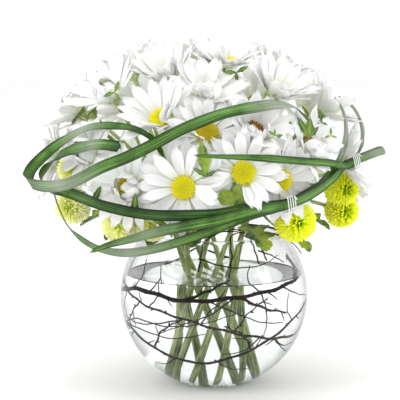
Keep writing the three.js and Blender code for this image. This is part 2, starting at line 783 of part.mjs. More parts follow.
const glass = finish(0xe8f0ee, 0.05);
const waterFinish = finish(0xdfeee8, 0.05);
const green = finish(0x5f7f2c, 0.55);
const lime = finish(0xb9cf2a, 0.6);
const white = finish(0xf4f6f2, 0.5);
const yellow = finish(0xe3cf14, 0.7);
const grass = finish(0x2f5a22, 0.45);
const wireFinish = finish(0xd9dccf, 0.35);
const bark = finish(0x4a2a24, 0.8);

const bowl = bowlGeometry();
addPiece('glass_bowl', bowl, glass);
place('glass_bowl', bowl);

for (const blade of blades) {
  const geometry = bladeGeometry(blade);
  addPiece(`grass_${blade.name}`, geometry, grass);
  place(`grass_${blade.name}`, geometry);
}
for (const tie of ties) {
  const geometry = tieGeometry(tie);
  addPiece(`tie_${tie.name}`, geometry, wireFinish);
  place(`tie_${tie.name}`, geometry);
}

const waterSide = bubbleArc(innerRadius, BOWL.floor, WATER_LEVEL, BOWL_STEPS.wet, WATER_GAP);
const waterProfile = [
  new THREE.Vector2(0, waterSide[0].y),
  ...waterSide,
  new THREE.Vector2(0, waterSide[BOWL_STEPS.wet].y),
];
let water = solidOf(lathe(waterProfile, BOWL.sides));
for (const twig of twigs) {
  const geometry = geometryOf(twigSolid(twig));
  addPiece(`twig_${twig.name}`, geometry, bark);
  place(`twig_${twig.name}`, geometry);
  water = water.subtract(twigSolid(twig, CLEAR));
}
for (const spray of [...daisySprays, ...pomSprays]) {
  water = water.subtract(solidOf(stemGeometry(spray.slot, CLEAR)));
}
addPiece('water', geometryOf(water), waterFinish);

for (const spray of daisySprays) {
  spray.owner = `daisy_${spray.name}_stem`;
  spray.white = `daisy_${spray.name}_petals`;
  spray.green = [stemGeometry(spray.slot)];
  place(spray.owner, spray.green[0]);
  spray.heads = spray.blooms.map((bloom) => ({
    ...bloomFrame(bloom, spray.level),
    reach: bloom[2],
    plan: petalPlan(spray.petals, bloom[2]),
  }));
  spray.heads.forEach((head, i) => {
    head.disc = `daisy_${spray.name}_disc_${i + 1}`;
    const geometry = discGeometry(head.matrix);
    addPiece(head.disc, geometry, yellow);
    place(head.disc, geometry);
    const bare = head.plan.map((petal) => ({ ...petal, bare: true }));
    head.hub = `${spray.white}_${i + 1}`;
    place(head.hub, rosetteGeometry(bare, head.matrix));
  });
}

for (const spray of pomSprays) {
  spray.owner = `pom_${spray.name}_spray`;
  spray.green = [stemGeometry(spray.slot)];
  spray.heads = spray.heads.map(([x, y, z, radius]) => {
    const position = new THREE.Vector3(x, y, z);
    const axis = position.clone().sub(new THREE.Vector3(DOME.x, 0, DOME.z + 8)).normalize();
    const geometry = pomGeometry(headFrame(position, axis), radius);
    if (!isClear(geometry, [spray.owner])) troubles.push(`head of ${spray.owner}`);
    spray.green.push(geometry);
    return { position, axis };
  });
  for (const geometry of spray.green) place(spray.owner, geometry);
}

for (const spray of [...pomSprays, ...daisySprays]) {
  for (const [order, head] of spray.heads.entries()) {
    head.order = order;
    const geometry = clearBranch(spray.owner, spray.slot, head);
    place(spray.owner, geometry);
    spray.green.push(geometry);
  }
}

// Small moves of a leaf, for one that has no room where it was meant to be.
const nudges = [[0, 0, 0]];
for (const size of [5, 10, 15]) {
  nudges.push([0, 0, size], [0, 0, -size], [size, 0, 0], [-size, 0, 0], [0, size, 0], [0, -size, 0]);
}

for (const leaf of leaves) {
  const spray = daisySprays.find(({ name }) => name === leaf.spray);
  const tries = nudges.map((nudge) => leafGeometries(spray.slot, leaf, vector(nudge)));
  const found = tries.find((parts) => parts.every((part) => isClear(part, [spray.owner])));
  if (!found) troubles.push(`leaf of ${spray.owner} at ${leaf.at}`);
  for (const geometry of found || []) {
    place(spray.owner, geometry);
    spray.green.push(geometry);
  }
}

for (const spray of pomSprays) addPiece(spray.owner, geometryOf(joined(spray.green.map(solidOf))), lime);
for (const spray of daisySprays) addPiece(spray.owner, geometryOf(joined(spray.green.map(solidOf))), green);

let loose = placed.filter(({ owner }) => owner.startsWith('grass'));
for (const spray of daisySprays) {
  const own = spray.heads.map(({ hub }) => hub);
  for (const head of spray.heads) {
    clearPetals(head.plan, head.matrix, [head.hub, head.disc]);
    head.bloom = solidOf(rosetteGeometry(head.plan, head.matrix));
    place(head.hub, rosetteGeometry(head.plan, head.matrix));
  }
  loose = loose.filter((blade) => !holdUp(blade, spray.heads));
  if (!joinBlooms(spray.heads, own)) troubles.push(`${spray.white} is in several bodies`);
  for (const { hub, plan, matrix } of spray.heads) {
    placed.splice(0, placed.length, ...placed.filter(({ owner }) => owner !== hub));
    place(hub, rosetteGeometry(plan, matrix));
  }
  addPiece(spray.white, geometryOf(joined(spray.heads.map(({ bloom }) => bloom))), white);
}

for (const { owner } of loose) troubles.push(`${owner} rests on nothing`);
if (troubles.length) throw new Error(troubles.join('; '));

export default arrangement;
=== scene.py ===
# Floral table centerpiece: white daisy chrysanthemums and green button poms in a glass
# bubble bowl of water, with looped grass blades tied by fine wire and bare twigs coiled
# inside the glass. Sizes are in millimetres, and become metres where a mesh is made.

import random
from math import cos, inf, pi, radians, sin, sqrt, tau

import bpy
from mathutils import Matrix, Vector
from mathutils.bvhtree import BVHTree


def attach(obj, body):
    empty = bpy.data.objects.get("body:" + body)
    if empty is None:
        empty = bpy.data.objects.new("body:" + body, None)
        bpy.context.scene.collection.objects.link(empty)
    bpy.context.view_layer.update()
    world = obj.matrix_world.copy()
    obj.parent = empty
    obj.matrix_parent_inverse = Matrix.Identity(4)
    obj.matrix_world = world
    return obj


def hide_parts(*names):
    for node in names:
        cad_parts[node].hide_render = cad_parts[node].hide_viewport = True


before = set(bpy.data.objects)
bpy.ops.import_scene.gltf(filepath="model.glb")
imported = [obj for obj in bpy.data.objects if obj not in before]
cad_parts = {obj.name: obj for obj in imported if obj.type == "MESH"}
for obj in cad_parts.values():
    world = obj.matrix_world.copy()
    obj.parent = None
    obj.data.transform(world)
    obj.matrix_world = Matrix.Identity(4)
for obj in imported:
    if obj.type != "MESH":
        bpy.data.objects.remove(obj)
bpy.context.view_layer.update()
MM = 0.001


# GLASS BOWL
# A bubble blown of clear soda glass, with a thick floor, a small flat foot that it rests
# on, and a mouth that was cut and then rounded in the fire.

BOWL_RADIUS = 75
BOWL_WALL = 2.6
BOWL_FOOT = 27
BOWL_FLOOR = 5
BOWL_RIM = 121
BOWL_LIP = 1.2
BOWL_CUT = BOWL_RIM - BOWL_LIP
BOWL_MIDDLE = sqrt(BOWL_RADIUS**2 - BOWL_FOOT**2)
# The rounding of the mouth: how far in each step goes, and how much of the lip it rises.
MOUTH_STEPS = ((0.2, 0.55), (0.35, 0.33), (0.5, 0.12))
WATER_LEVEL = 88
GLASS_IOR, WATER_IOR = 1.46, 1.333
BALL_SEGMENTS, BALL_RINGS = 112, 72
NEAR = 0.01
MERGED = 0.002
# Where a clear finish begins to darken, and where it is at its darkest, by how far it is
# looked along. The darkening is partly the tint of a longer path through glass or water,
# partly painted shade that stands in for the dark edges they show.
EDGE_TINT_SHADE_START, EDGE_TINT_SHADE_FULL = 0.56, 0.82


def choose_none():
    """Deselects every object."""
    bpy.ops.object.select_all(action="DESELECT")


def choose(piece):
    """Adds an object to the selected ones, and makes it the active one."""
    piece.select_set(True)
    bpy.context.view_layer.objects.active = piece


def mode(name):
    """Changes to object mode or edit mode."""
    bpy.ops.object.mode_set(mode=name)


def choose_all():
    """In edit mode, selects the whole mesh."""
    bpy.ops.mesh.select_all(action="SELECT")


def choose_above(piece, height):
    """In edit mode, selects the vertices that stand at this height or higher."""
    bpy.ops.mesh.select_all(action="DESELECT")
    mode("OBJECT")
    for vertex in piece.data.vertices:
        vertex.select = vertex.co.z > (height - NEAR) * MM
    mode("EDIT")


def step_in(steps, height):
    """Insets the chosen face step by step, and lifts each step by its share of a height."""
    for inward, share in steps:
        bpy.ops.mesh.inset(thickness=inward * MM)
        bpy.ops.transform.translate(value=(0, 0, share * height * MM))


def bubble(radius, low, high, closed_top):
    """A ball round the bowl's middle, cut level at two heights, with its floor filled."""
    choose_none()
    bpy.ops.mesh.primitive_uv_sphere_add(segments=BALL_SEGMENTS, ring_count=BALL_RINGS,
                                         radius=radius * MM, location=(0, 0, BOWL_MIDDLE * MM))
    ball = bpy.context.object
    bpy.ops.object.transform_apply(location=True)
    mode("EDIT")
    for height, cut in ((low, dict(use_fill=True, clear_inner=True)),
                        (high, dict(use_fill=closed_top, clear_outer=True))):
        choose_all()
        bpy.ops.mesh.bisect(plane_co=(0, 0, height * MM), plane_no=(0, 0, 1), **cut)
    return ball


def seat(piece, name, materials, nodes, angle):
    """Turns the faces of a closed piece outwards, smooths edges blunter than this angle, and
    puts the piece in place of nodes."""
    choose_none()
    choose(piece)
    mode("EDIT")
    choose_all()
    bpy.ops.mesh.remove_doubles(threshold=MERGED * MM)
    bpy.ops.mesh.normals_make_consistent(inside=False)
    mode("OBJECT")
    bpy.ops.object.shade_smooth_by_angle(angle=radians(angle))
    piece.name = name
    for material in materials:
        piece.data.materials.append(material)
    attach(piece, "root")
    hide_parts(*nodes)


def node(tree, kind, inputs=None, **settings):
    """A new shader node with its settings, its input values and its links."""
    made = tree.nodes.new(kind)
    for name, value in settings.items():
        setattr(made, name, value)
    for name, value in (inputs or {}).items():
        if isinstance(value, bpy.types.NodeSocket):
            tree.links.new(value, made.inputs[name])
        else:
            made.inputs[name].default_value = value
    return made


def ramp(tree, factor, *stops):
    """Colours by a factor. Each stop is a place from 0 to 1, then red, green and blue."""
    made = node(tree, "ShaderNodeValToRGB", {"Fac": factor})
    elements = made.color_ramp.elements
    while len(elements) < len(stops):
        elements.new(0.5)
    for element, (place, *colour) in zip(elements, stops):
        element.position = place
        element.color = (*colour, 1)
    return made.outputs["Color"]


def finish(name, **values):
    """A new material with plain values on its shader. Returns it, its tree and the shader."""
    material = bpy.data.materials.new(name)
    material.use_nodes = True
    shader = material.node_tree.nodes["Principled BSDF"]
    for socket, value in values.items():
        shader.inputs[socket.replace("_", " ")].default_value = value
    return material, material.node_tree, shader


def clear_finish(name, ior, middle, rim):
    """A see-through finish, darker where looked along: partly its tint, partly painted edge shade.
    """
    material, tree, shader = finish(name, Roughness=0.0, IOR=ior, Transmission_Weight=1)
    edge = node(tree, "ShaderNodeLayerWeight", {"Blend": 0.5})
    tint = ramp(tree, edge.outputs["Facing"], (0, *middle), (EDGE_TINT_SHADE_START, *middle),
                (EDGE_TINT_SHADE_FULL, *rim), (1, *rim))
    tree.links.new(tint, shader.inputs["Base Color"])
    return material


# The last colour of each clear finish is painted edge shade, partly its own tint.
glass = clear_finish("clear_glass", GLASS_IOR, (0.985, 0.99, 0.99), (0.3, 0.33, 0.33))
wet_glass = clear_finish("wet_glass", GLASS_IOR / WATER_IOR, (0.99, 0.995, 0.99),
                         (0.42, 0.46, 0.43))

bowl = bubble(BOWL_RADIUS, 0, BOWL_CUT, closed_top=False)
mode("OBJECT")
bubble(BOWL_RADIUS - BOWL_WALL, BOWL_FLOOR, BOWL_CUT, closed_top=False)
choose_all()
bpy.ops.mesh.flip_normals()
mode("OBJECT")
choose(bowl)
bpy.ops.object.join()
mode("EDIT")
choose_above(bowl, BOWL_CUT)
bpy.ops.mesh.bridge_edge_loops()
choose_above(bowl, BOWL_CUT)
step_in(MOUTH_STEPS, BOWL_LIP)
mode("OBJECT")
seat(bowl, "bowl", [glass, wet_glass], ["glass_bowl"], angle=35)
for facet in bowl.data.polygons:
    place = facet.center / MM
    inside = (place - Vector((0, 0, BOWL_MIDDLE))).length < BOWL_RADIUS - BOWL_WALL / 2
    if inside and BOWL_FLOOR / 2 < place.z < WATER_LEVEL:
        facet.material_index = 1


# WATER
# Clean tap water, a little green from the stems. It climbs the glass by a millimetre where
# they meet, and the flower stems and twigs stand in it.

WATER_CLIMB = 1.2
WATER_GAP = 0.2
WATER_TOP = WATER_LEVEL + WATER_CLIMB
# The curve of the water's edge: how far in each step goes, and how much of the climb it falls.
EDGE_STEPS = ((0.9, 0.8), (1.6, 0.2))

# The last colour of each clear finish is painted edge shade, partly its own tint.
water_top = clear_finish("water", WATER_IOR, (0.985, 0.995, 0.985), (0.9, 0.94, 0.92))
water_side = clear_finish("water_side", 1.0, (0.97, 0.985, 0.972), (0.8, 0.84, 0.8))

water = bubble(BOWL_RADIUS - BOWL_WALL - WATER_GAP, BOWL_FLOOR + WATER_GAP, WATER_TOP,
               closed_top=True)
choose_above(water, WATER_TOP)
step_in(EDGE_STEPS, -WATER_CLIMB)
mode("OBJECT")
seat(water, "water_fill", [water_top, water_side], ["water"], angle=50)
for facet in water.data.polygons:
    surface = facet.normal.z > 0.5 and facet.center.z / MM > WATER_LEVEL - 1
    facet.material_index = 0 if surface else 1


# TWIGS
# Three bare twigs, cut fresh, that are wound round the inside of the glass and spring
# against it. Each has side shoots, and a bud every two centimetres.

TWIGS = {
    "upper": dict(inset=3.6, thick=1.7,
        route=[(-88, 74), (-55, 81), (-20, 77), (15, 80), (48, 84), (80, 90), (108, 99)],
        shoots=[[(-20, 77), (-2, 86), (10, 93)], [(15, 80), (33, 70), (52, 64)]],
        sprigs=[[(-74, 78), (-82, 90), (-80, 103)], [(-62, 80), (-55, 91), (-57, 104)],
            [(-45, 80), (-38, 92), (-40, 101)], [(30, 82), (22, 92), (25, 103)],
            [(48, 84), (64, 76), (80, 72)], [(-5, 78), (12, 69), (30, 60), (48, 57)],
            [(62, 87), (70, 96), (67, 107)], [(12, 80), (-2, 68), (-18, 60), (-38, 50)],
            [(30, 82), (33, 70), (34, 58), (33, 46)],
            [(-12, 108), (10, 102), (34, 102), (54, 107)], [(36, 112), (46, 108), (58, 101)],
            [(-70, 77), (-74, 66), (-70, 55)]]),
    "lower": dict(inset=7.8, thick=1.15,
        route=[(-82, 52), (-50, 37), (-12, 28), (28, 38), (62, 56), (105, 72), (150, 84),
            (185, 97)],
        shoots=[[(-50, 37), (-38, 52), (-22, 62)], [(28, 38), (20, 50), (6, 58)]],
        sprigs=[[(-82, 52), (-56, 50), (-30, 47), (-6, 52)], [(-70, 47), (-84, 40), (-98, 42)],
            [(0, 31), (14, 23), (32, 22)], [(45, 46), (58, 38), (76, 38)],
            [(-30, 32), (-44, 25), (-60, 24)], [(62, 56), (54, 66), (56, 78)],
            [(-82, 52), (-60, 58), (-34, 56), (-8, 60), (16, 68)]]),
    "cross": dict(inset=12.5, thick=0.95,
        route=[(78, 44), (48, 45), (14, 52), (-22, 62), (-62, 70), (-105, 80), (-150, 92),
            (-170, 103)],
        shoots=[[(14, 52), (24, 66), (40, 76)], [(-62, 70), (-74, 60), (-90, 46)]],
        sprigs=[[(48, 45), (62, 37), (78, 32)], [(34, 47), (24, 38), (6, 35)],
            [(-10, 58), (-2, 70), (10, 79)], [(-22, 62), (-42, 57), (-64, 54), (-88, 56)],
            [(-50, 68), (-42, 78), (-44, 90)], [(78, 44), (92, 52), (108, 54)]]),
}
# A spur on a stout twig: shares of its length, and how far it bows in there.
SPUR_BOWS = ((0, 0), (0.3, 0.5), (0.52, 0), (0.75, 0.5), (1, 0))
# Steps between two points of a route and between two joints, the sideways kink at a joint,
# and the least radius of a twig that bears buds and spurs.
TWIG_FINE = 26
TWIG_JOINT = 9
TWIG_KINK = 0.55
TWIG_STOUT = 0.65
# Sprigs and mouth ends: radius at the foot and at the tip, and the kink.
SPRIG, MOUTH_END = (0.6, 0.3, 0.25), (0.6, 0.35, 0.4)
# Fluting of a round form: how many scallops go round it.
SCALLOPS = 12
CURVE_STEPS = 24
# Fine ends of the upper twig that stand out of the mouth and curl over its rim.
TWIGS["upper"]["mouth_ends"] = [
    [(11, -60, 93), (13, -52, 110), (12, -48, 119), (14, -52, 126), (30, -56, 128), (46, -50, 126),
     (58, -40, 123)],
    [(34, -48, 102), (30, -42, 114), (28, -40, 120), (33, -45, 127), (50, -46, 124), (62, -38, 116),
     (68, -32, 108)],
    [(-12, -58, 98), (-10, -50, 112), (-8, -49, 119), (2, -54, 127), (20, -58, 131), (34, -54, 127),
     (40, -46, 131)],
    [(40, -42, 104), (35, -34, 116), (36, -34, 122), (30, -50, 133), (14, -58, 129),
     (-2, -58, 132)],
]


class Shape:
    """Corners and faces in millimetres, and for each tint one number per corner."""

    def __init__(self, *tints):
        self.corners = []
        self.faces = []
        self.tints = {name: [] for name in tints}

    def add(self, corners, faces, **tints):
        first = len(self.corners)
        self.corners += corners
        self.faces += [[first + corner for corner in face] for face in faces]
        for name, values in self.tints.items():
            value = tints.get(name, 0.0)
            values += value if isinstance(value, list) else [value] * len(corners)


def added(name, content):
    """A new object in the scene, with this mesh, lamp or camera."""
    made = bpy.data.objects.new(name, content)
    bpy.context.collection.objects.link(made)
    return made


def piece_of(shape, name, material, nodes, angle=60):
    """Makes the mesh of a shape, and seats it in place of nodes."""
    mesh = bpy.data.meshes.new(name)
    mesh.from_pydata([corner * MM for corner in shape.corners], [], shape.faces)
    for tint, values in shape.tints.items():
        mesh.attributes.new(tint, "FLOAT", "POINT").data.foreach_set("value", values)
    seat(added(name, mesh), name, [material], nodes, angle)


def curve_through(points, steps):
    """Points at even distances on a smooth curve that goes through the given ones."""
    points = [Vector(point) for point in points]
    points = [2 * points[0] - points[1], *points, 2 * points[-1] - points[-2]]
    fine = []
    for a, b, c, d in zip(points, points[1:], points[2:], points[3:]):
        ab, bc, cd = sqrt((b - a).length), sqrt((c - b).length), sqrt((d - c).length)
        start = ((b - a) / ab - (c - a) / (ab + bc) + (c - b) / bc) * bc
        end = ((c - b) / bc - (d - b) / (bc + cd) + (d - c) / cd) * bc
        for i in range(CURVE_STEPS):
            t = i / CURVE_STEPS
            fine.append(b + start * t + (3 * (c - b) - 2 * start - end) * t**2
                        + (2 * (b - c) + start + end) * t**3)
    fine.append(points[-2])
    total = sum((after - before).length for before, after in zip(fine, fine[1:]))
    even = [fine[0]]
    reached = 0.0
    for before, after in zip(fine, fine[1:]):
        span = (after - before).length
        while len(even) < steps and reached + span >= total * len(even) / steps:
            even.append(before.lerp(after, (total * len(even) / steps - reached) / span))
        reached += span
    return even + [fine[-1]]


def tangent(points, i):
    """Direction of a line at one of its points."""
    return (points[min(i + 1, len(points) - 1)] - points[max(i - 1, 0)]).normalized()


def spoke(side, up, turn):
    """Direction from an axis at this turn, between its two spokes."""
    return side * cos(turn) + up * sin(turn)


def turned(shape, rings, sides, **tints):
    """A round form with flat ends. Each ring is a middle, two spokes, a radius and scallops."""
    turns = [tau * k / sides for k in range(sides)]
    corners = [middle + spoke(side, up, turn) * radius * (1 + scallop * cos(SCALLOPS * turn))
               for middle, side, up, radius, scallop in rings for turn in turns]
    last = len(corners) - sides
    faces = [list(range(sides - 1, -1, -1)), list(range(last, last + sides))]
    for low in range(0, last, sides):
        for k in range(sides):
            a, b = low + k, low + (k + 1) % sides
            faces.append([a, b, b + sides, a + sides])
    shape.add(corners, faces, round_x=[cos(turn) for turn in turns] * len(rings),
              round_y=[sin(turn) for turn in turns] * len(rings), **tints)


def rod(shape, points, radii, sides, **tints):
    """A round rod through these points, which knows how far along each of its corners is."""
    side = Vector((0.31, 0.17, 0.94))
    rings, reached = [], []
    distance = 0.0
    for i, (point, radius) in enumerate(zip(points, radii)):
        along = tangent(points, i)
        side = (side - along * side.dot(along)).normalized()
        rings.append((point, side, along.cross(side), radius, 0))
        distance += (point - points[max(i - 1, 0)]).length
        reached += [distance] * sides
    turned(shape, rings, sides, along=reached, **tints)


def on_ring(x, radius, azimuth, z):
    """A point on a level ring, by its azimuth from the front towards +X."""
    turn = radians(azimuth)
    return Vector((x + radius * sin(turn), -radius * cos(turn), z))


def on_glass(azimuth, z, inset):
    """A point inside the bowl, this far in from the glass."""
    reach = sqrt((BOWL_RADIUS - BOWL_WALL) ** 2 - (z - BOWL_MIDDLE) ** 2)
    return on_ring(0, reach - inset, azimuth, z)


chance = random.Random(3)


def twig_rods(shape, points, thick, thin, kink):
    """One shoot that turns a little at each joint. A stout one has buds and spurs there."""
    straight = curve_through(points, TWIG_FINE * (len(points) - 1))
    count = len(straight) - 1
    middle = Vector((0, 0, BOWL_MIDDLE))
    line, radii = [], []
    for i, point in enumerate(straight):
        joint = abs((i / TWIG_JOINT + 0.5) % 2 - 1)
        across = tangent(straight, i).cross((point - middle).normalized())
        line.append(point + across * kink * (2 * joint - 1) * min(1, (count - i) / 6, i / 6))
        swelling = 1 + 0.25 * max(0, cos(tau * (i / TWIG_JOINT + 0.5))) ** 8
        radii.append((thick + (thin - thick) * i / count) * swelling * chance.uniform(0.95, 1.04))
    radii[-1] *= 0.3
    rod(shape, line, radii, 8)
    for order, i in enumerate(range(TWIG_JOINT, count - 2, TWIG_JOINT)):
        foot, along = line[i], tangent(line, i)
        inward = (middle - foot).normalized()
        out = (inward.cross(along) * 0.8 * (-1) ** order + along).normalized()
        if thick < TWIG_STOUT:
            rod(shape, [foot + out * reach for reach in (0.1, 0.6, 1.1)],
                [radii[i] * 0.8, 0.38, 0.1], 5)
        elif order % 3 == 1:
            reach = chance.uniform(7, 13)
            spur = [foot + out * reach * share + inward * (0.12 * reach * share**2 + bow)
                    for share, bow in SPUR_BOWS]
            rod(shape, spur, [radii[i] * 0.6, 0.5, 0.42, 0.36, 0.1], 6)
        else:
            rod(shape, [foot + out * reach for reach in (0.3, 1.5, 2.4, 3.2)],
                [radii[i] * 0.7, 0.75, 0.6, 0.12], 6)


def round_the_glass(route, inset):
    """Points of a route along the glass, each given by its azimuth and height."""
    return [on_glass(azimuth, z, inset) for azimuth, z in route]


# Lines and mottle of a piece, from a noise stretched on its own axes and an even one.
grain = bpy.data.node_groups.new("grain", "ShaderNodeTree")
for name, side, kind in (("Vector", "INPUT", "Vector"), ("Stretch", "INPUT", "Vector"),
                         ("Scale", "INPUT", "Float"), ("Lines", "OUTPUT", "Float"),
                         ("Mottle", "OUTPUT", "Float")):
    grain.interface.new_socket(name, in_out=side, socket_type=f"NodeSocket{kind}")
given = node(grain, "NodeGroupInput").outputs
stretched = node(grain, "ShaderNodeVectorMath", {0: given["Vector"], 1: given["Stretch"]},
                 operation="MULTIPLY")
lines = node(grain, "ShaderNodeTexNoise", {"Vector": stretched.outputs["Vector"],
                                           "Scale": given["Scale"], "Detail": 5.0})
mottle = node(grain, "ShaderNodeTexNoise", {"Vector": given["Vector"], "Scale": 70.0,
                                            "Detail": 3.0})
node(grain, "NodeGroupOutput", {"Lines": lines.outputs["Fac"], "Mottle": mottle.outputs["Fac"]})


def grain_in(tree, scale, stretch=(1, 1, 1), vector=None):
    """Lines and mottle from the grain group, on the piece's own axes or on this vector."""
    if vector is None:
        vector = node(tree, "ShaderNodeTexCoord").outputs["Object"]
    made = node(tree, "ShaderNodeGroup", node_tree=grain)
    for socket, value in (("Stretch", stretch), ("Scale", scale)):
        made.inputs[socket].default_value = value
    tree.links.new(vector, made.inputs["Vector"])
    return made.outputs["Lines"], made.outputs["Mottle"]


def between(tree, share, one, other):
    """A number between two others, by a share."""
    return node(tree, "ShaderNodeMix", {0: share, 2: one, 3: other}).outputs[0]


def painted(tree, shader, colour, height, distance, strength):
    """Gives a finish its colour, and a relief of this height in millimetres."""
    bump = node(tree, "ShaderNodeBump", {"Height": height, "Distance": distance * MM,
                                         "Strength": strength})
    tree.links.new(bump.outputs["Normal"], shader.inputs["Normal"])
    tree.links.new(colour, shader.inputs["Base Color"])


bark, tree, shader = finish("twig_bark", Roughness=0.62, Specular_IOR_Level=0.08)
lines, mottle = grain_in(tree, 260, (1, 1, 5))
dark = ramp(tree, between(tree, 0.5, lines, mottle), (0.38, 0.004, 0.001, 0.001),
            (0.5, 0.018, 0.004, 0.002), (0.63, 0.065, 0.02, 0.01))
painted(tree, shader, dark, lines, 0.3, 0.8)

for name, twig in TWIGS.items():
    shape = Shape()
    thick, inset = twig["thick"], twig["inset"]
    twig_rods(shape, round_the_glass(twig["route"], inset), thick, thick * 0.7, TWIG_KINK)
    for shoot in twig["shoots"]:
        twig_rods(shape, round_the_glass(shoot, inset), thick * 0.7, thick * 0.4, TWIG_KINK)
    for sprig in twig["sprigs"]:
        twig_rods(shape, round_the_glass(sprig, inset - 1.5), *SPRIG)
    for end in twig.get("mouth_ends", []):
        twig_rods(shape, end, *MOUTH_END)
    piece_of(shape, f"twig_{name}_bark", bark, [f"twig_{name}"])


# STEMS AND LEAVES
# Seven cut sprays of daisy chrysanthemum and three of button pom. Their ribbed green stems
# cross in a spiral in the bowl's mouth, fork above it, and bear the heads and lobed leaves.

STEM_FOOT, STEM_LOW = 31, 9
STEM_HEAD, STEM_HIGH = 38, 150
STEM_LEAN = -5
STEM_SPIRAL = -115
STEM_THICK, STEM_THIN = 3.2, 2.6
STEM_SLIM = 0.74
BRANCH_THICK, BRANCH_THIN = 2.0, 1.5
BRANCH_APART = 4.5
STEM_STEPS, STEM_SIDES, STEM_CUT = 44, 16, 2.2
BRANCH_STEPS, STALK_STEPS = 16, 10
CALYX_NECK = 9
# How far a disc's flat back stands out from the middle of its bloom, and the cosine above
# which two of its faces look the same way.
DISC_BACK, SAME_WAY = 0.6, 0.9995
# The green cup under a bloom: level and radius of each ring, and how deep its bracts are.
CALYX = (
    (-9.5, 1.4, 0), (-6.5, 1.7, 0), (-4.9, 3.0, 0.07), (-3.6, 4.9, 0.07), (-2.2, 5.3, 0.07),
    (-1.15, 4.8, 0.07),
)

DAISY_SPRAYS = {
    "front": (10, 4), "crown": (-26, 5), "right": (82, 5), "left": (-98, 4), "top": (118, 5),
    "rear": (190, 4), "far": (226, 5),
}
POM_SPRAYS = {
    "left": (-62, [(-106, -56, 177, 14), (-108, -50, 148, 14.5), (-70, -90, 139, 14.5),
        (-46, -97, 140, 13)]),
    "right": (46, [(100, -16, 157, 14.5), (101, -8, 139, 14.5), (60, -79, 140, 16.5)]),
    "rear": (154, [(48, 82, 140, 14.5), (-22, 100, 141, 15.5), (-76, 78, 141, 14.5)]),
}
POM_MIDDLE = Vector((-11, 0, 174))

# Branches that bow aside: how far below the fork they leave, how straight they come in,
# and how far they bow to the front.
BOWED = {
    ("pom_rear", 2): (13, 0.15, 0), ("daisy_rear", 1): (20.5, 0.3, 0),
    ("daisy_rear", 2): (13, 0.5, 9), ("daisy_rear", 3): (17.5, 0.3, 9),
}

# Leaves: the spray, the foot of the blade, the way it points, the way it faces, its length.
UP = (0, 0, 1)
LEAVES = [
    ("front", (30, -111, 161), (-30, -6, 2), (0.2, -1, 0.2), 28),
    ("front", (-8, -78, 139), (-10, -30, -6), UP, 36),
    ("crown", (-30, -66, 138), (-20, -26, -8), UP, 34),
    ("right", (60, -16, 140), (30, -10, -6), UP, 34),
    ("left", (-72, -6, 140), (-30, -6, -4), UP, 36),
    ("top", (52, 34, 140), (26, 16, -6), UP, 34),
    ("front", (24, -72, 136), (14, -28, -8), UP, 34),
    ("right", (48, -50, 131), (24, -20, -8), UP, 34),
    ("left", (-58, -38, 136), (-26, -20, -6), UP, 34),
    ("rear", (10, 66, 155), (4, 30, -5), UP, 36),
    ("far", (-52, 46, 140), (-22, 22, -5), UP, 34),
]
# Leaflets that peep out between the blooms: the spray, the bloom whose stalk bears them, the
# place, and for each leaflet the way it points, with its length as the last number.
LEAFLETS = [
    ("left", 0, (-74, -80, 236), [(0.35, -0.1, 1, 9), (-1, -0.1, -0.3, 9), (0.7, -0.1, -0.9, 7)]),
    ("left", 1, (-107, -17, 214), [(0.7, 0, 0.7, 8), (-0.6, 0, -0.8, 8)]),
    ("top", 3, (16, -62, 250), [(-1, -0.2, 0.1, 10), (0.9, -0.1, 0.5, 10), (0.1, -0.2, -1, 8)]),
    ("crown", 3, (43, -105, 206), [(-0.6, 0, 0.5, 6), (1, 0, 0.1, 6), (0, 0, 1, 5)]),
    ("right", 0, (87, -66, 203), [(0, 0, 1, 6), (-1, 0, -0.3, 5), (1, 0, -0.3, 5)]),
    ("right", 2, (80, -67, 213), [(-0.2, 0, 1, 8), (0.5, 0, -0.2, 5)]),
    ("right", 0, (69, -86, 203), [(-0.5, -0.1, 1, 17), (0.1, -0.1, 1, 15), (0.6, -0.1, 0.7, 11)]),
    ("front", 0, (-7, -122, 178), [(-0.1, 0, 1, 26), (-0.9, 0, 0.7, 11), (0.8, 0, 0.5, 9)]),
    ("front", 3, (-90, -98, 156), [(0.4, 0, 0.8, 14), (-0.5, 0, 0.4, 9)]),
    ("front", 3, (-59, -117, 147), [(0.1, 0, 1, 18)]),
    ("front", 0, (-18, -119, 139), [(0.9, -0.1, 0.3, 12), (-0.9, -0.1, 0.2, 11)]),
    ("front", 0, (-34, -119, 142), [(-0.9, -0.1, 0.4, 12), (0.3, -0.1, -0.8, 9)]),
]
LEAFLET_FACE = (0.15, -1, 0.25)
LEAFLET_LIMIT = 20
LEAF_VEINS = 5.6
LEAFLET_OUTLINE = [(0, 0.03), (0.2, 0.1), (0.45, 0.17), (0.7, 0.13), (0.9, 0.06), (1, 0.0)]
LEAF_OUTLINE = [
    (0, 0.03), (0.1, 0.07), (0.2, 0.3), (0.3, 0.4), (0.35, 0.3), (0.4, 0.15), (0.5, 0.28),
    (0.64, 0.4), (0.67, 0.27), (0.7, 0.14), (0.79, 0.2), (0.88, 0.2), (0.95, 0.12), (1, 0.0),
]


def bloom_of(name):
    """Middle of a bloom's hub and its axis, from the flat back of its CAD disc."""
    facets = list(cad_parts[name].data.polygons)
    backs = [[other for other in facets if other.normal.dot(facet.normal) > SAME_WAY]
             for facet in facets]
    back = max(backs, key=lambda group: sum(facet.area for facet in group))
    area = sum(facet.area for facet in back)
    axis = -sum((facet.normal * facet.area for facet in back), Vector()).normalized()
    middle = sum((facet.center / MM * facet.area for facet in back), Vector()) / area
    return middle - axis * DISC_BACK, axis


def stem_line(slot):
    """Cut end, fork and direction of the stem at this azimuth."""
    low = on_ring(0, STEM_FOOT, slot + STEM_SPIRAL, STEM_LOW)
    high = on_ring(STEM_LEAN, STEM_HEAD, slot, STEM_HIGH)
    return low, high, (high - low).normalized()


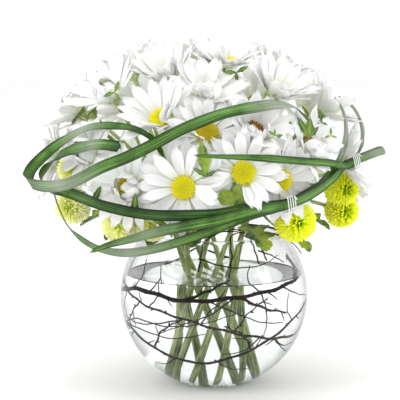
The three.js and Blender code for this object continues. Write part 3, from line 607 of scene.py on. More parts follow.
def bezier(a, b, c, d, steps):
    """Points on a curve from a to d, which b and c draw aside."""
    return [a * (1 - t)**3 + b * 3 * t * (1 - t)**2 + c * 3 * t**2 * (1 - t) + d * t**3
            for t in (i / steps for i in range(steps + 1))]


def stem_rod(shape, slot):
    """A straight stem with a swollen joint every few centimetres and a clean slanting cut."""
    low, high, along = stem_line(slot)
    line, radii = [], []
    for i in range(STEM_STEPS + 1):
        joint = 0.32 * max(0, cos((i + slot) * 0.42)) ** 12
        line.append(low.lerp(high, i / STEM_STEPS))
        radii.append(STEM_SLIM * (STEM_THICK + (STEM_THIN - STEM_THICK) * i / STEM_STEPS) + joint)
    first = len(shape.corners)
    rod(shape, line, radii, STEM_SIDES)
    for k in range(STEM_SIDES):
        shape.corners[first + k] += along * STEM_CUT * cos(tau * k / STEM_SIDES)
        shape.tints["cut"][first + k] = 1.0


def branch_rod(shape, owner, order, slot, head, axis, neck):
    """A side branch from the stem's fork to a head, which it meets along the head's axis."""
    _, high, along = stem_line(slot)
    below, back, bow = BOWED.get((owner, order), (4 + BRANCH_APART * order, 0.3, 0))
    start = high - along * below
    end = head - axis * neck
    span = (end - start).length
    shift = Vector((0, -bow, 0))
    line = bezier(start, start + along * span * 0.3 + shift, end - axis * span * back + shift, end,
                  BRANCH_STEPS)
    radii = [BRANCH_THICK + (BRANCH_THIN - BRANCH_THICK) * min(1, i / 9)
             for i in range(BRANCH_STEPS + 1)]
    radii[0] += 0.5
    rod(shape, line, radii, 10)


def head_frame(axis):
    """Two spokes of a flower head, and the way it looks."""
    side = Vector((0.2, 0.1, 1)).cross(axis).normalized()
    return side, axis.cross(side), axis


def take_apart(blank):
    """Corners and faces of an object that was only made for them."""
    corners = [vertex.co.copy() for vertex in blank.data.vertices]
    faces = [list(face.vertices) for face in blank.data.polygons]
    bpy.data.objects.remove(blank)
    return corners, faces


def slip(cols, rows):
    """A closed slip, across -1 to 1, along 0 to 1 and with two skins: its points and faces."""
    choose_none()
    bpy.ops.mesh.primitive_grid_add(x_subdivisions=cols, y_subdivisions=rows, size=2,
                                    location=(0, 0, 0))
    mode("EDIT")
    choose_all()
    bpy.ops.mesh.extrude_region_move(TRANSFORM_OT_translate={"value": (0, 0, -1)})
    mode("OBJECT")
    corners, faces = take_apart(bpy.context.object)
    return [(x, (y + 1) / 2, z) for x, y, z in corners], faces


# For each kind of leaf its outline, its columns from rib to edge and the slip it is made of.
LEAF = LEAF_OUTLINE, 6, slip(12, 56)
LEAFLET = LEAFLET_OUTLINE, 3, slip(6, 16)


def leaf_width(forward, outline):
    """Half width of a leaf of length 1, this far along it."""
    for (a, low), (b, high) in zip(outline, outline[1:]):
        if forward <= b:
            t = (forward - a) / (b - a)
            return low + (high - low) * t * t * (3 - 2 * t)
    return 0.0


def leaf_blade(shape, base, points, faces_to, length, kind=LEAF):
    """A blade with a sunk rib and side veins. It droops, and folds up along the rib."""
    outline, cols, (spots, faces) = kind
    run = Vector(points).normalized()
    side = run.cross(Vector(faces_to)).normalized()
    up = side.cross(run)
    corners, veins = [], []
    for u, s, skin in spots:
        width = max(leaf_width(s, outline) * (1 + 0.05 * sin(118 * s)), 0.004)
        branch = (s - 0.9 * abs(u) * width) * LEAF_VEINS
        side_vein = 0.7 * max(0.0, 1 - 7 * abs(branch - round(branch))) if abs(u) < 0.99 else 0
        vein = max(0.0, 1 - 0.9 * cols * abs(u), side_vein)
        lift = 0.25 * abs(u) * width - 0.22 * s**2
        swell = 0.012 * cos(tau * branch) * min(1, abs(u) * cols / 2)
        thick = (0.5 * (1 - u**2) + 0.12) * min(1, length / LEAFLET_LIMIT)
        corners.append(Vector(base) + (run * s + side * u * width) * length
                       + up * (length * (lift - swell) + (2 * skin + 1) * thick - 0.12 * vein))
        veins.append(vein)
    shape.add(corners, faces, vein=veins, leaf=1.0, small=float(length < LEAFLET_LIMIT))


def leaf_stalk(shape, slot, base, points, length):
    """The stalk of a lobed leaf, from the stem's fork to the foot of the blade."""
    _, high, along = stem_line(slot)
    base, run = Vector(base), Vector(points).normalized() * length
    start, behind, end = high - along * 3, base - run * 0.35, base + run * 0.16
    line = bezier(start, start.lerp(behind, 0.66), end.lerp(behind, 0.66), end, STALK_STEPS)
    rod(shape, line, [1.5 - 0.09 * i for i in range(STALK_STEPS + 1)], 8, leaf=0.4)


def leaflets(shape, bloom, base, tuft):
    """A tuft of small leaves at the end of a thin stalk that leaves a bloom's own stalk."""
    head, axis = bloom
    base = Vector(base)
    start = head - axis * CALYX_NECK * 0.9
    line = bezier(start, start.lerp(base, 0.3) - axis * 8, start.lerp(base, 0.75) - axis * 5, base,
                  STALK_STEPS)
    rod(shape, line, [0.8 - 0.03 * i for i in range(STALK_STEPS + 1)], 6)
    tuft_blades(shape, base, tuft)


def tuft_blades(shape, base, tuft):
    """The small leaves of a tuft."""
    for *points, length in tuft:
        leaf_blade(shape, base, points, LEAFLET_FACE, length, LEAFLET)


def tint(tree, name):
    """A number that the mesh of a piece keeps for each of its corners."""
    return node(tree, "ShaderNodeAttribute", attribute_name=name).outputs["Fac"]


def mixed(tree, share, one, other, how="MIX"):
    """Two colours mixed by a share, or the first one multiplied by the other."""
    return node(tree, "ShaderNodeMix", {0: share, 6: one, 7: other}, data_type="RGBA",
                blend_type=how).outputs[2]


def on_surface(tree, x, y, z=0.0):
    """A place on a piece's surface, from numbers that its mesh keeps."""
    return node(tree, "ShaderNodeCombineXYZ", {"X": x, "Y": y, "Z": z}).outputs[0]


green, tree, shader = finish("stem_green", Roughness=0.42)
round_the_stem = on_surface(tree, tint(tree, "round_x"), tint(tree, "round_y"), tint(tree, "along"))
lines = grain_in(tree, 3.2, (1, 1, 0.025), round_the_stem)[0]
mottle = grain_in(tree, 1)[1]
both = between(tree, 0.35, lines, mottle)
stalk = ramp(tree, both, (0.37, 0.035, 0.08, 0.012), (0.44, 0.15, 0.24, 0.045),
             (0.51, 0.35, 0.44, 0.13), (0.58, 0.68, 0.73, 0.38))
stalk = mixed(tree, tint(tree, "cut"), stalk, (0.6, 0.62, 0.36, 1))
blade = ramp(tree, mottle, (0.4, 0.014, 0.05, 0.006), (0.5, 0.09, 0.18, 0.012),
             (0.6, 0.30, 0.42, 0.02))
young = ramp(tree, mottle, (0.4, 0.02, 0.06, 0.006), (0.5, 0.06, 0.14, 0.012),
             (0.62, 0.2, 0.3, 0.03))
blade = mixed(tree, tint(tree, "small"), blade, young)
blade = mixed(tree, tint(tree, "vein"), blade, (0.24, 0.34, 0.06, 1))
painted(tree, shader, mixed(tree, tint(tree, "leaf"), stalk, blade), both, 0.25, 0.6)
GREEN_TINTS = "along", "round_x", "round_y", "cut", "vein", "leaf", "small"
CALYX_SIDES = 36

blooms = {}
for name, (slot, count) in DAISY_SPRAYS.items():
    shape = Shape(*GREEN_TINTS)
    stem_rod(shape, slot)
    for order in range(count):
        head, axis = blooms[name, order] = bloom_of(f"daisy_{name}_disc_{order + 1}")
        side, up, _ = head_frame(axis)
        branch_rod(shape, f"daisy_{name}", order, slot, head, axis, CALYX_NECK)
        turned(shape, [(head + axis * level, side, up, radius, bracts)
                       for level, radius, bracts in CALYX], CALYX_SIDES)
    for spray, *leaf in LEAVES:
        if spray == name:
            leaf_blade(shape, *leaf)
            leaf_stalk(shape, slot, leaf[0], leaf[1], leaf[3])
    for spray, order, base, tuft in LEAFLETS:
        if spray == name:
            leaflets(shape, blooms[name, order], base, tuft)
    piece_of(shape, f"daisy_{name}_greens", green, [f"daisy_{name}_stem"])


# BUTTON POMS
# Small tight heads of short green-yellow florets that stand in rings round a deep green
# middle. Each head sits on a branch of its own spray, lower than the daisies.

POM_CORE = 0.5
POM_RINGS = 9
POM_FLORET_WIDTH = 1.15
# Heads at the front nod towards it.
POM_NOD = Vector((0, -0.9, 0.1))
# Degrees from a head's top to its first ring of florets, and from ring to ring.
POM_FIRST, POM_STEP = 9, 13.5
POM_FLORET = slip(3, 4)


def pom_head(shape, middle, radius, pale):
    """A round core, and rings of strap florets that stand out from it and bend away at the tip."""
    axis = (middle - POM_MIDDLE).normalized()
    if middle.y < 0:
        axis = (axis + POM_NOD).normalized()
    side, up, _ = head_frame(axis)
    core = radius * POM_CORE
    levels = [pi * (i + 0.5) / POM_RINGS for i in range(POM_RINGS)]
    turned(shape, [(middle + axis * core * cos(polar), side, up, core * sin(polar), 0)
                   for polar in levels], 24, pale=pale)
    points, faces = POM_FLORET
    for ring in range(POM_RINGS):
        polar = radians(POM_FIRST + POM_STEP * ring)
        count = max(6, round(tau * sin(polar) * radius / (1.9 * POM_FLORET_WIDTH)))
        start = 0.05 - 0.25 * max(0, 1 - ring / 2)
        for k in range(count):
            turn = tau * (k + 0.5 * (ring % 2) + chance.uniform(-0.2, 0.2)) / count
            tilt = polar + chance.uniform(-0.07, 0.07)
            level = spoke(side, up, turn)
            out = level * sin(tilt) + axis * cos(tilt)
            away = level * cos(tilt) - axis * sin(tilt)
            bend = chance.uniform(0.85, 1.15) * (1.0 - 0.3 * min(1, polar / 1.6))
            length = (radius - core) * chance.uniform(1.0, 1.14)
            root = middle + out * core * 0.94
            width = POM_FLORET_WIDTH * chance.uniform(0.9, 1.1)
            made = []
            for u, s, skin in points:
                angle = start + bend * s
                spine = (out * (sin(angle) - sin(start))
                         + away * (cos(start) - cos(angle))) * (length / bend)
                face = out * sin(angle) - away * cos(angle)
                wide = width * (0.6 + 0.4 * sin(pi * min(s, 0.7) / 1.4))
                wide *= sqrt(max(0.05, 1 - max(0, (s - 0.7) / 0.32) ** 2))
                made.append(root + spine + out.cross(away) * u * wide
                            + face * (0.3 * u * u * width + 0.25 * skin * (1.1 - 0.6 * s)))
            shape.add(made, faces, tip=[s for _, s, _ in points], ring=polar / 2.2, pale=pale)


def sum_of(tree, how, *numbers):
    """Arithmetic on numbers that change over a surface."""
    return node(tree, "ShaderNodeMath", dict(enumerate(numbers)), operation=how).outputs[0]


lime, tree, shader = finish("pom_lime", Roughness=0.55, Subsurface_Weight=0.25,
                            Subsurface_Radius=(1, 1, 0.3), Subsurface_Scale=MM)
lines = grain_in(tree, 700)[0]
ripe = sum_of(tree, "MULTIPLY_ADD", tint(tree, "ring"), 1.6, tint(tree, "tip"))
ripe = sum_of(tree, "MULTIPLY", ripe, 0.5)
vivid = ramp(tree, ripe, (0.1, 0.12, 0.34, 0.004), (0.24, 0.66, 0.80, 0.005),
             (0.45, 0.90, 0.97, 0.006), (0.85, 0.95, 0.98, 0.04))
# Paler heads of the left spray, made lighter still as painted light to make up for the shade they
# stand in.
pale_with_painted_light = ramp(tree, ripe, (0.1, 0.66, 0.76, 0.12), (0.3, 0.88, 0.93, 0.26),
             (0.6, 0.95, 0.97, 0.38), (0.95, 0.97, 0.98, 0.56))
painted(tree, shader, mixed(tree, tint(tree, "pale"), vivid, pale_with_painted_light), lines, 0.12, 0.5)

for name, (slot, heads) in POM_SPRAYS.items():
    stalks = Shape(*GREEN_TINTS)
    stem_rod(stalks, slot)
    shape = Shape("tip", "ring", "pale")
    for order, (*middle, radius) in enumerate(heads):
        middle = Vector(middle)
        axis = (middle - POM_MIDDLE).normalized()
        branch_rod(stalks, f"pom_{name}", order, slot, middle, axis, 2)
        pom_head(shape, middle, radius, float(name == "left"))
    piece_of(stalks, f"pom_{name}_greens", green, [f"pom_{name}_spray"])
    piece_of(shape, f"pom_{name}_heads", lime, [f"pom_{name}_spray"])


# DAISY DISCS
# The yellow middle of each bloom: about ninety tiny tube florets in spirals on a dome. The
# outer ones are open and golden, and the inner ones are closed and still green.

DISC_RADIUS = 8.6
DISC_FLORETS = 96
GOLDEN_TURN = pi * (3 - sqrt(5))
# The body of a disc under its florets: shares of its radius, each with a height where it is
# not the dome's own.
DISC_LEVELS = (
    (0.5, 0), (0.97, 0), (0.97, 0.25), (0.85, None), (0.6, None), (0.3, None), (0.1, None),
)
AGED = {("crown", 3): 1.0, ("right", 0): 0.9, ("crown", 0): 0.35}

# A floret, one millimetre tall: a six-sided bud with a hollow tip.
BUD_STEPS = ((0.28, 0.22), (0.2, -0.3))
choose_none()
bpy.ops.mesh.primitive_cylinder_add(vertices=6, radius=MM, depth=MM, location=(0, 0, 0.5 * MM))
bud = bpy.context.object
bpy.ops.object.transform_apply(location=True)
mode("EDIT")
choose_above(bud, 1)
bpy.ops.transform.resize(value=(0.8, 0.8, 1))
step_in(BUD_STEPS, 1)
mode("OBJECT")
bud_corners, BUD_FACES = take_apart(bud)
BUD_POINTS = [corner / MM for corner in bud_corners]


def disc_height(reach):
    """Height of the dome over its flat back, at a share of its radius."""
    return 0.5 + 2.9 * sqrt(max(0, 1 - reach**2.4)) - 0.9 * max(0, 1 - reach * 2.2) ** 1.5


def disc(shape, head, axis, aged):
    """The dome of a disc, and its florets set in spirals over it."""
    side, up, _ = head_frame(axis)
    rings = []
    for reach, level in DISC_LEVELS:
        height = DISC_BACK + (disc_height(reach) - 0.3 if level is None else level)
        rings.append((head + axis * height, side, up, DISC_RADIUS * reach, 0))
    turned(shape, rings, 20, ripe=0.5, aged=aged)
    for k in range(DISC_FLORETS):
        reach = sqrt((k + 0.6) / DISC_FLORETS)
        turn = k * GOLDEN_TURN + head.x
        spot = spoke(side, up, turn)
        out = (axis + spot * 1.1 * reach**2).normalized()
        width = 0.5 + 0.28 * reach
        tall = (1.0 + 0.5 * reach) * chance.uniform(0.85, 1.15)
        inner = 0.93 * reach
        foot = head + spot * DISC_RADIUS * inner + axis * (DISC_BACK + disc_height(inner) - 0.4)
        x = spot.cross(out).normalized()
        y = out.cross(x)
        shape.add([foot + (x * p.x + y * p.y) * width + out * p.z * tall for p in BUD_POINTS],
                  BUD_FACES, ripe=[reach * 0.8 + 0.2 * min(1, p.z) for p in BUD_POINTS], aged=aged)


yellow, tree, shader = finish("disc_yellow", Roughness=0.6)
lines = grain_in(tree, 1500)[0]
ripe = tint(tree, "ripe")
fresh = ramp(tree, ripe, (0.05, 0.42, 0.50, 0.01), (0.35, 0.68, 0.66, 0.008),
             (0.7, 0.84, 0.78, 0.008), (1.0, 0.88, 0.78, 0.02))
golden = ramp(tree, ripe, (0.1, 0.5, 0.3, 0.02), (0.6, 0.42, 0.2, 0.01),
              (1.0, 0.28, 0.1, 0.008))
painted(tree, shader, mixed(tree, tint(tree, "aged"), fresh, golden), lines, 0.1, 0.5)

for name, (_, count) in DAISY_SPRAYS.items():
    shape = Shape("ripe", "aged")
    for order in range(count):
        disc(shape, *blooms[name, order], AGED.get((name, order), 0.0))
    piece_of(shape, f"daisy_{name}_discs", yellow,
             [f"daisy_{name}_disc_{order + 1}" for order in range(count)], angle=40)


# GRASS BLADES
# Four long flat blades of lily grass, laid in loops over the front of the flowers. Each is
# creased along its middle, dark with fine lengthwise veins, with painted grey sheen at bends
# where it would reflect the soft boxes and painted shade where the bouquet shades it.

BLADES = {
    "sweep": (4.4, [(-37, -96, 188), (-45, -104, 203), (-57, -100, 210), (-73, -90, 212),
        (-93, -78, 210), (-112, -66, 200), (-127, -58, 189), (-138, -62, 178), (-139, -77, 170),
        (-125, -95, 168), (-106, -110, 172), (-82, -114, 184), (-63, -119, 192), (-45, -122, 201),
        (-26, -120, 211), (-11, -117, 217), (7, -111, 223), (30, -102, 227), (46, -90, 228),
        (59, -78, 225), (68, -73, 217), (73, -75, 210), (74, -80, 204)]),
    "loop": (4.2, [(-69, -104, 198), (-84, -98, 199), (-99, -88, 196), (-114, -78, 190),
        (-125, -71, 181), (-130, -74, 173), (-125, -82, 166), (-112, -95, 165), (-97, -105, 161),
        (-80, -114, 156), (-47, -124, 151), (-18, -128, 151), (3, -127, 152), (25, -119, 155),
        (53, -106, 157), (73, -89, 165), (85, -73, 175), (95, -57, 188), (100, -44, 204),
        (99, -33, 219), (93, -25, 230)]),
    "hoop": (3.7, [(-123, -58, 163), (-118, -64, 149), (-110, -72, 135), (-97, -84, 126),
        (-82, -96, 121), (-64, -108, 121), (-44, -115, 125), (-22, -119, 132), (0, -120, 140),
        (24, -115, 149), (52, -104, 156), (70, -85, 163), (85, -66, 170), (91, -60, 175),
        (96, -55, 180), (107, -44, 184), (113, -35, 193), (114, -28, 207), (109, -19, 220),
        (97, -10, 230)]),
    "fold": (4.0, [(-92, -102, 120), (-80, -109, 126), (-62, -117, 132), (-40, -124, 139),
        (-18, -129, 144), (3, -130, 148), (25, -123, 153), (54, -108, 157), (74, -92, 164),
        (90, -73, 173), (99, -58, 180), (109, -46, 184), (118, -41, 187), (127, -39, 190),
        (130, -43, 190), (123, -47, 188), (112, -49, 184), (101, -60, 180), (92, -74, 182),
        (86, -82, 184), (64, -99, 187), (40, -111, 190), (17, -121, 192), (-1, -126, 193),
        (-16, -128, 194)]),
}
# Spots of painted light on a blade: painted grey sheen that stands in for the soft boxes'
# reflection, and, counting below nothing, painted shade where a blade lies in the bouquet's
# shadow: the place, how far, how much.
PAINTED_LIGHT_SPOTS = {
    "sweep": [((-100, -75, 207), 24, 1.0), ((-113, -105, 170), 38, 0.9), ((52, -84, 227), 42, 1.3),
        ((-45, -104, 203), 26, -0.7), ((-20, -119, 213), 36, -0.35)],
    "loop": [((-92, -94, 198), 18, 0.6), ((97, -42, 214), 46, 2.0), ((-69, -104, 198), 17, -1.0),
        ((-121, -75, 182), 22, -0.7), ((-80, -114, 156), 44, -0.9), ((-30, -127, 151), 50, -0.9)],
    "hoop": [((108, -22, 216), 50, 2.0), ((-64, -108, 121), 46, 0.8)],
    "fold": [((-50, -120, 136), 30, 0.5), ((124, -44, 189), 20, 0.9)],
}
# How soon each blade is at its full width, the share of it that it keeps at its far end, where
# it starts to narrow, and how much it folds up there.
AT_ONCE = 1000
WIDTHS = {
    "sweep": (0.5, 0.8, 0.86, 0), "loop": (AT_ONCE, 1.1, 0.74, 0.6),
    "hoop": (1, 1.0, 0.76, 0.6), "fold": (1, 0.7, 0.4, 0),
}
BLADE_THICK = 0.7
BLADE_ROLL = 25
BLADE_STEPS = 260
# Steps over which a blade's bend is read, and over which the way it looks is evened out.
BLADE_LOOK, BLADE_EVEN = 4, 5
BLADE = slip(8, BLADE_STEPS)
BOUQUET = Vector((-11, 0, 166))


def blade_faces(line):
    """Which way the flat of a blade looks at each point, carried on through the folds."""
    face = (line[0] - BOUQUET).normalized()
    raw = []
    for i in range(1, len(line) - 1):
        along = tangent(line, i)
        behind = line[i] - line[max(i - BLADE_LOOK, 0)]
        ahead = line[min(i + BLADE_LOOK, len(line) - 1)] - line[i]
        turn = (ahead.normalized() - behind.normalized()) * (BLADE_ROLL / ahead.length)
        outward = (line[i] - BOUQUET).normalized()
        total = Vector()
        for direction in (outward, turn):
            total += direction if direction.dot(face) >= 0 else -direction
        face = (total - along * total.dot(along)).normalized()
        raw.append(face)
    raw = [raw[0], *raw, raw[-1]]
    smooth = []
    for i in range(len(raw)):
        total = sum(raw[max(0, i - BLADE_EVEN):i + BLADE_EVEN + 1], Vector())
        along = tangent(line, i)
        smooth.append((total - along * total.dot(along)).normalized())
    return smooth


def grass_blade(shape, name, half, route):
    """A long blade of this half width, thin at its edges and creased along its middle."""
    line = curve_through(route, BLADE_STEPS)
    looks = blade_faces(line)
    opens, kept, start, folds = WIDTHS[name]
    rows = []
    for i, point in enumerate(line):
        s = i / BLADE_STEPS
        to_end = min(s * opens, 1 - s)
        far = min(1, max(0, (s - start) / 0.14))
        width = max(half * min(1, 0.35 + to_end * 5, to_end * 40), 0.05) * (1 - (1 - kept) * far)
        # Painted light at this point: sheen above nothing, shade below it.
        sheen = sum(much * max(0, 1 - (point - Vector(spot)).length / reach)
                    for spot, reach, much in PAINTED_LIGHT_SPOTS[name])
        crease = 0.5 / half + folds * far
        rows.append((point, looks[i], looks[i].cross(tangent(line, i)), width, crease, sheen))
    points, faces = BLADE
    corners, painted_lights = [], []
    for u, s, skin in points:
        point, look, across, width, crease, sheen = rows[round(s * BLADE_STEPS)]
        thick = BLADE_THICK / 2 * sqrt(max(0.06, 1 - u * u))
        corners.append(point + across * u * width
                       + look * (crease * (abs(u) - 0.4) * width + (2 * skin + 1) * thick))
        painted_lights.append(sheen)
    shape.add(corners, faces, across=[u for u, _, _ in points], along=[s for _, s, _ in points],
              sheen=painted_lights)


grass, tree, shader = finish("grass_green", Roughness=0.36, Specular_IOR_Level=0.22)
across, sheen = tint(tree, "across"), tint(tree, "sheen")
on_blade = on_surface(tree, across, tint(tree, "along"))
lines = grain_in(tree, 7, (1, 1.2, 1), on_blade)[0]
veins = node(tree, "ShaderNodeTexWave", {"Vector": on_blade, "Scale": 3.4, "Distortion": 0.6,
                                         "Detail": 1.0}, wave_type="BANDS", bands_direction="X")
veins = veins.outputs["Fac"]
deep = ramp(tree, sum_of(tree, "MULTIPLY_ADD", veins, 0.3, lines), (0.42, 0.003, 0.024, 0.002),
            (0.55, 0.018, 0.12, 0.006), (0.68, 0.10, 0.33, 0.02), (0.8, 0.34, 0.56, 0.17))
aside = sum_of(tree, "MULTIPLY_ADD", across, 0.5, 0.5)
greys = ((0.0, 0.16), (0.12, 0.4), (0.36, 1.0), (0.5, 0.66), (0.62, 0.8), (0.84, 0.42), (1.0, 0.12))
margin = ramp(tree, aside, *[(place, grey, grey, grey) for place, grey in greys])
patched = ramp(tree, grain_in(tree, 1)[1], (0.38, 0.55, 0.6, 0.5),
               (0.52, 0.95, 0.95, 0.9), (0.66, 1.0, 1.0, 1.0))
# Painted shade, where the painted light counts below nothing.
painted_shade = ramp(tree, sum_of(tree, "ADD", sheen, 1), (0.0, 0.2, 0.27, 0.3), (1.0, 1, 1, 1))
for layer in (margin, patched, painted_shade):
    deep = mixed(tree, 1.0, deep, layer, "MULTIPLY")
# Painted grey sheen, standing in for the soft boxes' reflection.
painted_sheen = node(tree, "ShaderNodeMath", {0: sum_of(tree, "MULTIPLY", sheen, lines), 1: 1.5},
             operation="MULTIPLY", use_clamp=True).outputs[0]
painted(tree, shader, mixed(tree, painted_sheen, deep, (0.37, 0.41, 0.33, 1)), veins, 0.12, 0.6)

for name, (half, route) in BLADES.items():
    shape = Shape("across", "along", "sheen")
    grass_blade(shape, name, half, route)
    piece_of(shape, f"grass_{name}_blade", grass, [f"grass_{name}"])


# WIRE TIES
# Short lengths of fine pale wire, wound three and a half turns round a bundle of blades, with
# both cut ends left standing.

TIES = {
    "low": dict(at=(53, -106, 156.8), along=(46, 31, 11), across=5.5, through=4.1),
    "right": dict(at=(104, -52, 182), along=(66, 70, 27), across=5.5, through=5.2),
}
WIRE_RADIUS = 0.42
WIRE_TURNS = 3.5
WIRE_PITCH = 2.1
WIRE_CORNER = 0.7
WIRE_STEPS = 240

wire, tree, shader = finish("tie_wire", Roughness=0.3, Metallic=0.3)
lines, mottle = grain_in(tree, 400)
drawn = ramp(tree, mottle, (0.3, 0.74, 0.75, 0.70), (0.7, 0.92, 0.93, 0.90))
painted(tree, shader, drawn, lines, 0.05, 0.3)

for name, tie in TIES.items():
    centre = Vector(tie["at"])
    run = Vector(tie["along"]).normalized()
    out = centre - BOUQUET
    out = (out - run * out.dot(run)).normalized()
    side = run.cross(out)
    full, thick = tie["across"], tie["through"]
    wide, deep = full - WIRE_CORNER, thick - WIRE_CORNER
    lap = [(full, -deep), (full, deep), (wide, thick), (-wide, thick), (-full, deep),
           (-full, -deep), (-wide, -thick), (wide, -thick)]
    steps = int(WIRE_TURNS * len(lap))
    points = [centre + run * WIRE_PITCH * WIRE_TURNS * (i / steps - 0.5)
              + side * lap[i % len(lap)][0] + out * lap[i % len(lap)][1] for i in range(steps + 1)]
    points.insert(0, points[0] + out * 5 - side * 1.5 + run * 1.5)
    points.append(points[-1] + out * 4.2 + side * 1.8 - run)
    shape = Shape()
    rod(shape, curve_through(points, WIRE_STEPS), [WIRE_RADIUS] * (WIRE_STEPS + 1), 8)
    piece_of(shape, f"tie_{name}_wire", wire, [f"tie_{name}"])


# DAISY PETALS
# White strap petals in two rows round each disc, cupped, with two shallow grooves and a
# blunt notched tip. A petal with a blade of grass or another bloom in its way bends aside.

PETAL_ROOT = 6.4
PETAL_OUTER, PETAL_INNER = 16, 12
PETAL_WIDTH = 4.4
PETAL_THICK = 0.34
PETAL_BENDS = (0, 6, -6, 12, -12, 19, -19, 27, -27, 36)
PETAL_SHARES = (1, 0.86, 0.72)
# Degrees that each bloom's petals open to, and how far they reach from its axis.
OPENING = {
    "front": (5, 4, 6, 14), "crown": (16, 30, 30, 30, 42), "right": (26, 34, 40, 42, 38),
    "left": (34, 30, 16, 4), "top": (20, 34, 34, 30, 22), "rear": (10, 6, 24, 30),
    "far": (8, 10, 24, 30, 38),
}
REACH = {
    "front": (36, 33, 32, 33), "crown": (33, 35, 34, 32, 34), "right": (34, 33, 34, 35, 31),
    "left": (35, 34, 34, 27), "top": (34, 34, 33, 30, 33), "rear": (34, 34, 35, 35),
    "far": (34, 34, 34, 34, 34),
}
# Blooms whose inner petals still curl in over the disc, for spokes that point lower than this.
CURLED_IN = {
    ("front", 3): 2, ("left", 3): 2, ("crown", 3): 0.1, ("right", 0): 0.15, ("crown", 2): 0.2,
    ("left", 0): 2, ("left", 1): 2,
}
PETAL_POINTS, PETAL_FACES = slip(6, 11)
# What counts against a place for a petal: a blade or leaf laid over it, a stiff piece in its
# way, and by 1 another petal, of a bloom that stands within the reach of both.
LAID_OVER, STIFF = 5, 20
BLOOMS_APART = 76

growth = random.Random(11)


def petal_width(s):
    """Width of a petal at a share of its length, as a share of its widest."""
    body = 0.4 + 0.6 * min(1, s / 0.55) ** 0.8
    if s > 0.7:
        body *= sqrt(max(0.0, 1 - ((s - 0.7) / 0.31) ** 2)) * 0.97 + 0.03
    return body


def petal_corners(head, sides, turn, lift, bend, reach, root, level, wide, cup, sway, twist):
    """Corners of one petal on its bloom. Its middle line is an arc, from its lift by its bend."""
    side, up, axis = sides
    outward = spoke(side, up, turn)
    across = axis.cross(outward)
    start = radians(lift) - bend / 2
    length = reach - root
    corners = []
    for u, s, skin in PETAL_POINTS:
        fold = cos(3 * pi * u)
        angle = start + bend * (s + 0.075 * fold * max(0, s - 0.85) / 0.15)
        run = root + length * (sin(angle) - sin(start)) / bend
        rise = level + length * (cos(start) - cos(angle)) / bend
        face = axis * cos(angle) - outward * sin(angle)
        width = PETAL_WIDTH * wide * petal_width(s)
        groove = 0.2 * fold * min(1, 4 * s) * (1 - 0.5 * s)
        corners.append(head + outward * run + axis * rise + across * (u * width + sway * s * s)
                       + face * (groove + cup * u * u * width + u * twist * s + skin * PETAL_THICK))
    return corners


def solid_of(shape):
    """A shape as a solid that others are tried against."""
    return BVHTree.FromPolygons(shape.corners, shape.faces)


stiff = {}
for name, cad_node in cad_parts.items():
    if name.startswith(("grass", "tie", "pom")) or name.endswith("_stem") or "_disc_" in name:
        stiff[name] = BVHTree.FromPolygons([v.co / MM for v in cad_node.data.vertices],
                                           [list(p.vertices) for p in cad_node.data.polygons])
leaf_in_front, tufts = Shape(), Shape()
leaf_blade(leaf_in_front, *LEAVES[0][1:])
for _, _, base, tuft in LEAFLETS:
    tuft_blades(tufts, base, tuft)
laid_over = {}
for name in DAISY_SPRAYS:
    blades = ("sweep", "fold") if name == "front" else BLADES
    laid_over[name] = [stiff[f"grass_{blade}"] for blade in blades]
    laid_over[name] += [solid_of(leaf_in_front), solid_of(tufts)]
grown = []
BACKWARDS = Vector((0, 1, -0.12)).normalized()
PETAL_PROBES = [i for i, (u, s, skin) in enumerate(PETAL_POINTS)
                if skin == 0 and s > 0.4 and (abs(u) < 0.1 or abs(u) > 0.9)]
OUTER_FACES = [face for face in PETAL_FACES
               if min(PETAL_POINTS[corner][1] for corner in face) > 0.2]


def hindrance(corners, own_disc, head, over, worst):
    """How much stands in the way of a petal, counted no further than the worst so far."""
    petal = BVHTree.FromPolygons(corners, OUTER_FACES)
    score = 0
    for probe in PETAL_PROBES:
        hits = [blade for blade in over if blade.ray_cast(corners[probe], BACKWARDS)[0]]
        score += LAID_OVER * len(hits)
    for name, other in stiff.items():
        if name != own_disc and score < worst:
            score += STIFF * len(petal.overlap(other))
    for middle, other in grown:
        if score < worst and (middle - head).length < BLOOMS_APART:
            score += len(petal.overlap(other))
    return score


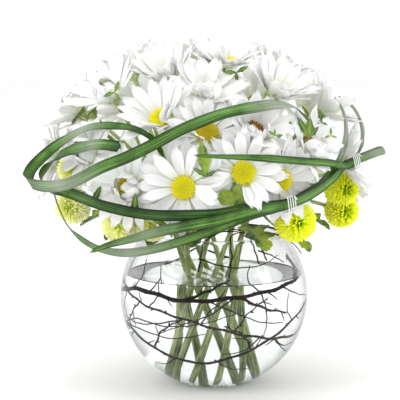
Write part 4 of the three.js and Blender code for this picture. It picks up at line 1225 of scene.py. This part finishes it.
petal_shapes = {name: Shape("along", "across", "shade") for name in DAISY_SPRAYS}
petal_tints = dict(along=[s for _, s, _ in PETAL_POINTS], across=[u for u, _, _ in PETAL_POINTS])
for (name, order), (head, axis) in sorted(blooms.items(), key=lambda bloom: bloom[1][0].y):
    sides = head_frame(axis)
    bloom = Shape()
    first_turn = growth.uniform(0, tau)
    opening = OPENING[name][order]
    for row, count in enumerate((PETAL_OUTER, PETAL_INNER)):
        for k in range(count):
            reach = REACH[name][order] * growth.uniform(0.93, 1.03) * (1 - 0.1 * row)
            lift = growth.uniform(-6, 6) + opening + 11 * row
            bend = growth.uniform(-0.6, -0.08) + 0.008 * opening
            turn = first_turn + tau * (k + 0.3 * row + growth.uniform(-0.1, 0.1)) / count
            height = spoke(*sides[:2], turn).z
            petal = dict(turn=turn, bend=bend if abs(bend) > 0.02 else 0.02, root=PETAL_ROOT,
                         wide=growth.uniform(0.88, 1.08) * (1 - 0.08 * row),
                         cup=growth.uniform(0.02, 0.3),
                         sway=growth.uniform(-1.2, 1.2), twist=growth.uniform(-0.9, 0.9),
                         level=-0.55 + 0.6 * row)
            if row == 1 and height < CURLED_IN.get((name, order), -2):
                petal.update(root=DISC_RADIUS + 0.3, bend=growth.uniform(0.7, 1.1), level=0.2)
                lift, reach = growth.uniform(88, 114), DISC_RADIUS + growth.uniform(12, 18)
            least = inf
            for share in PETAL_SHARES:
                for aside in PETAL_BENDS:
                    if least > 0:
                        petal.update(lift=lift + aside, reach=reach * share)
                        corners = petal_corners(head, sides, **petal)
                        score = hindrance(corners, f"daisy_{name}_disc_{order + 1}", head,
                                          laid_over[name], least)
                        if score < least:
                            least, chosen = score, corners
            petal_shapes[name].add(chosen, PETAL_FACES, **petal_tints, shade=growth.random())
            bloom.add(chosen, PETAL_FACES)
    grown.append((head, solid_of(bloom)))

white, tree, shader = finish("petal_white", Roughness=0.5, Subsurface_Weight=0.5,
                             Subsurface_Radius=(1, 1, 1), Subsurface_Scale=1.5 * MM)
along = tint(tree, "along")
on_petal = on_surface(tree, tint(tree, "across"), along, tint(tree, "shade"))
lines = grain_in(tree, 8, (1, 0.12, 3), on_petal)[0]
body = ramp(tree, along, (0.05, 0.80, 0.85, 0.62), (0.3, 0.90, 0.91, 0.88),
            (0.6, 0.93, 0.93, 0.925), (1.0, 0.95, 0.95, 0.95))
streak = ramp(tree, lines, (0.35, 0.9, 0.91, 0.91), (0.65, 1, 1, 1))
painted(tree, shader, mixed(tree, 0.6, body, streak, "MULTIPLY"), lines, 0.15, 0.5)

for name, shape in petal_shapes.items():
    piece_of(shape, f"daisy_{name}_blooms", white, [f"daisy_{name}_petals"])


# TABLE AND LIGHT
# A plain pale table top, a bright even studio, and three soft boxes: one on each side,
# which the glass shows as tall windows, and one overhead.

choose_none()
bpy.ops.mesh.primitive_plane_add(size=12, location=(0, 0, 0))
table = bpy.context.object
table.name = "table_top"
table_finish, tree, shader = finish("table_white", Roughness=0.6)
lines = grain_in(tree, 3)[0]
tree.links.new(ramp(tree, lines, (0.3, 0.93, 0.93, 0.93), (0.7, 0.945, 0.945, 0.945)),
               shader.inputs["Base Color"])
table.data.materials.append(table_finish)

studio = bpy.data.worlds.new("studio")
studio.use_nodes = True
bpy.context.scene.world = studio
tree = studio.node_tree
backdrop = tree.nodes["Background"]
rays = node(tree, "ShaderNodeLightPath").outputs
heading = node(tree, "ShaderNodeTexCoord").outputs["Generated"]
heading = node(tree, "ShaderNodeSeparateXYZ", {0: heading}).outputs
walls = node(tree, "ShaderNodeMapRange", {"Value": sum_of(tree, "ABSOLUTE", heading["X"]),
                                          "From Min": 0.72, "From Max": 1.0,
                                          "To Min": 1.06, "To Max": 0.55}).outputs[0]
front = node(tree, "ShaderNodeMapRange", {"Value": heading["Y"], "From Min": -0.9, "From Max": -0.2,
                                          "To Min": 0.4, "To Max": 1.0}).outputs[0]
bright = between(tree, rays["Is Diffuse Ray"], sum_of(tree, "MULTIPLY", walls, front), 1.08)
bright = between(tree, rays["Is Camera Ray"], bright, 1.0)
backdrop.inputs["Color"].default_value = (1, 1, 1, 1)
tree.links.new(bright, backdrop.inputs["Strength"])

BOX_AIM = Vector((0, 0, 0.13))
SOFT_BOXES = {
    "left_box": dict(at=(-1.1, -0.7, 0.75), size=(0.4, 0.75), power=5.5),
    "right_box": dict(at=(1.2, -0.45, 0.7), size=(0.35, 0.75), power=4),
    "top_box": dict(at=(-0.1, -0.1, 1.6), size=(1.4, 1.4), power=5),
}
for name, box in SOFT_BOXES.items():
    lamp = bpy.data.lights.new(name, "AREA")
    lamp.shape = "RECTANGLE"
    lamp.size, lamp.size_y = box["size"]
    lamp.energy = box["power"]
    holder = added(name, lamp)
    holder.location = box["at"]
    aim = BOX_AIM - Vector(box["at"])
    holder.rotation_euler = aim.to_track_quat("-Z", "Y").to_euler()

CAMERA_TURN = 83
CAMERA_PLACE = (-11.17, -1191.06, 292.55)
CAMERA_LENS, CAMERA_SENSOR = 135.4, 36
eye = bpy.data.cameras.new("camera")
eye.sensor_width = CAMERA_SENSOR
eye.lens = CAMERA_LENS
camera = added("camera", eye)
camera.location = Vector(CAMERA_PLACE) * MM
camera.rotation_euler = (radians(CAMERA_TURN), 0, 0)
bpy.context.scene.camera = camera
bpy.context.scene.view_settings.view_transform = "Standard"
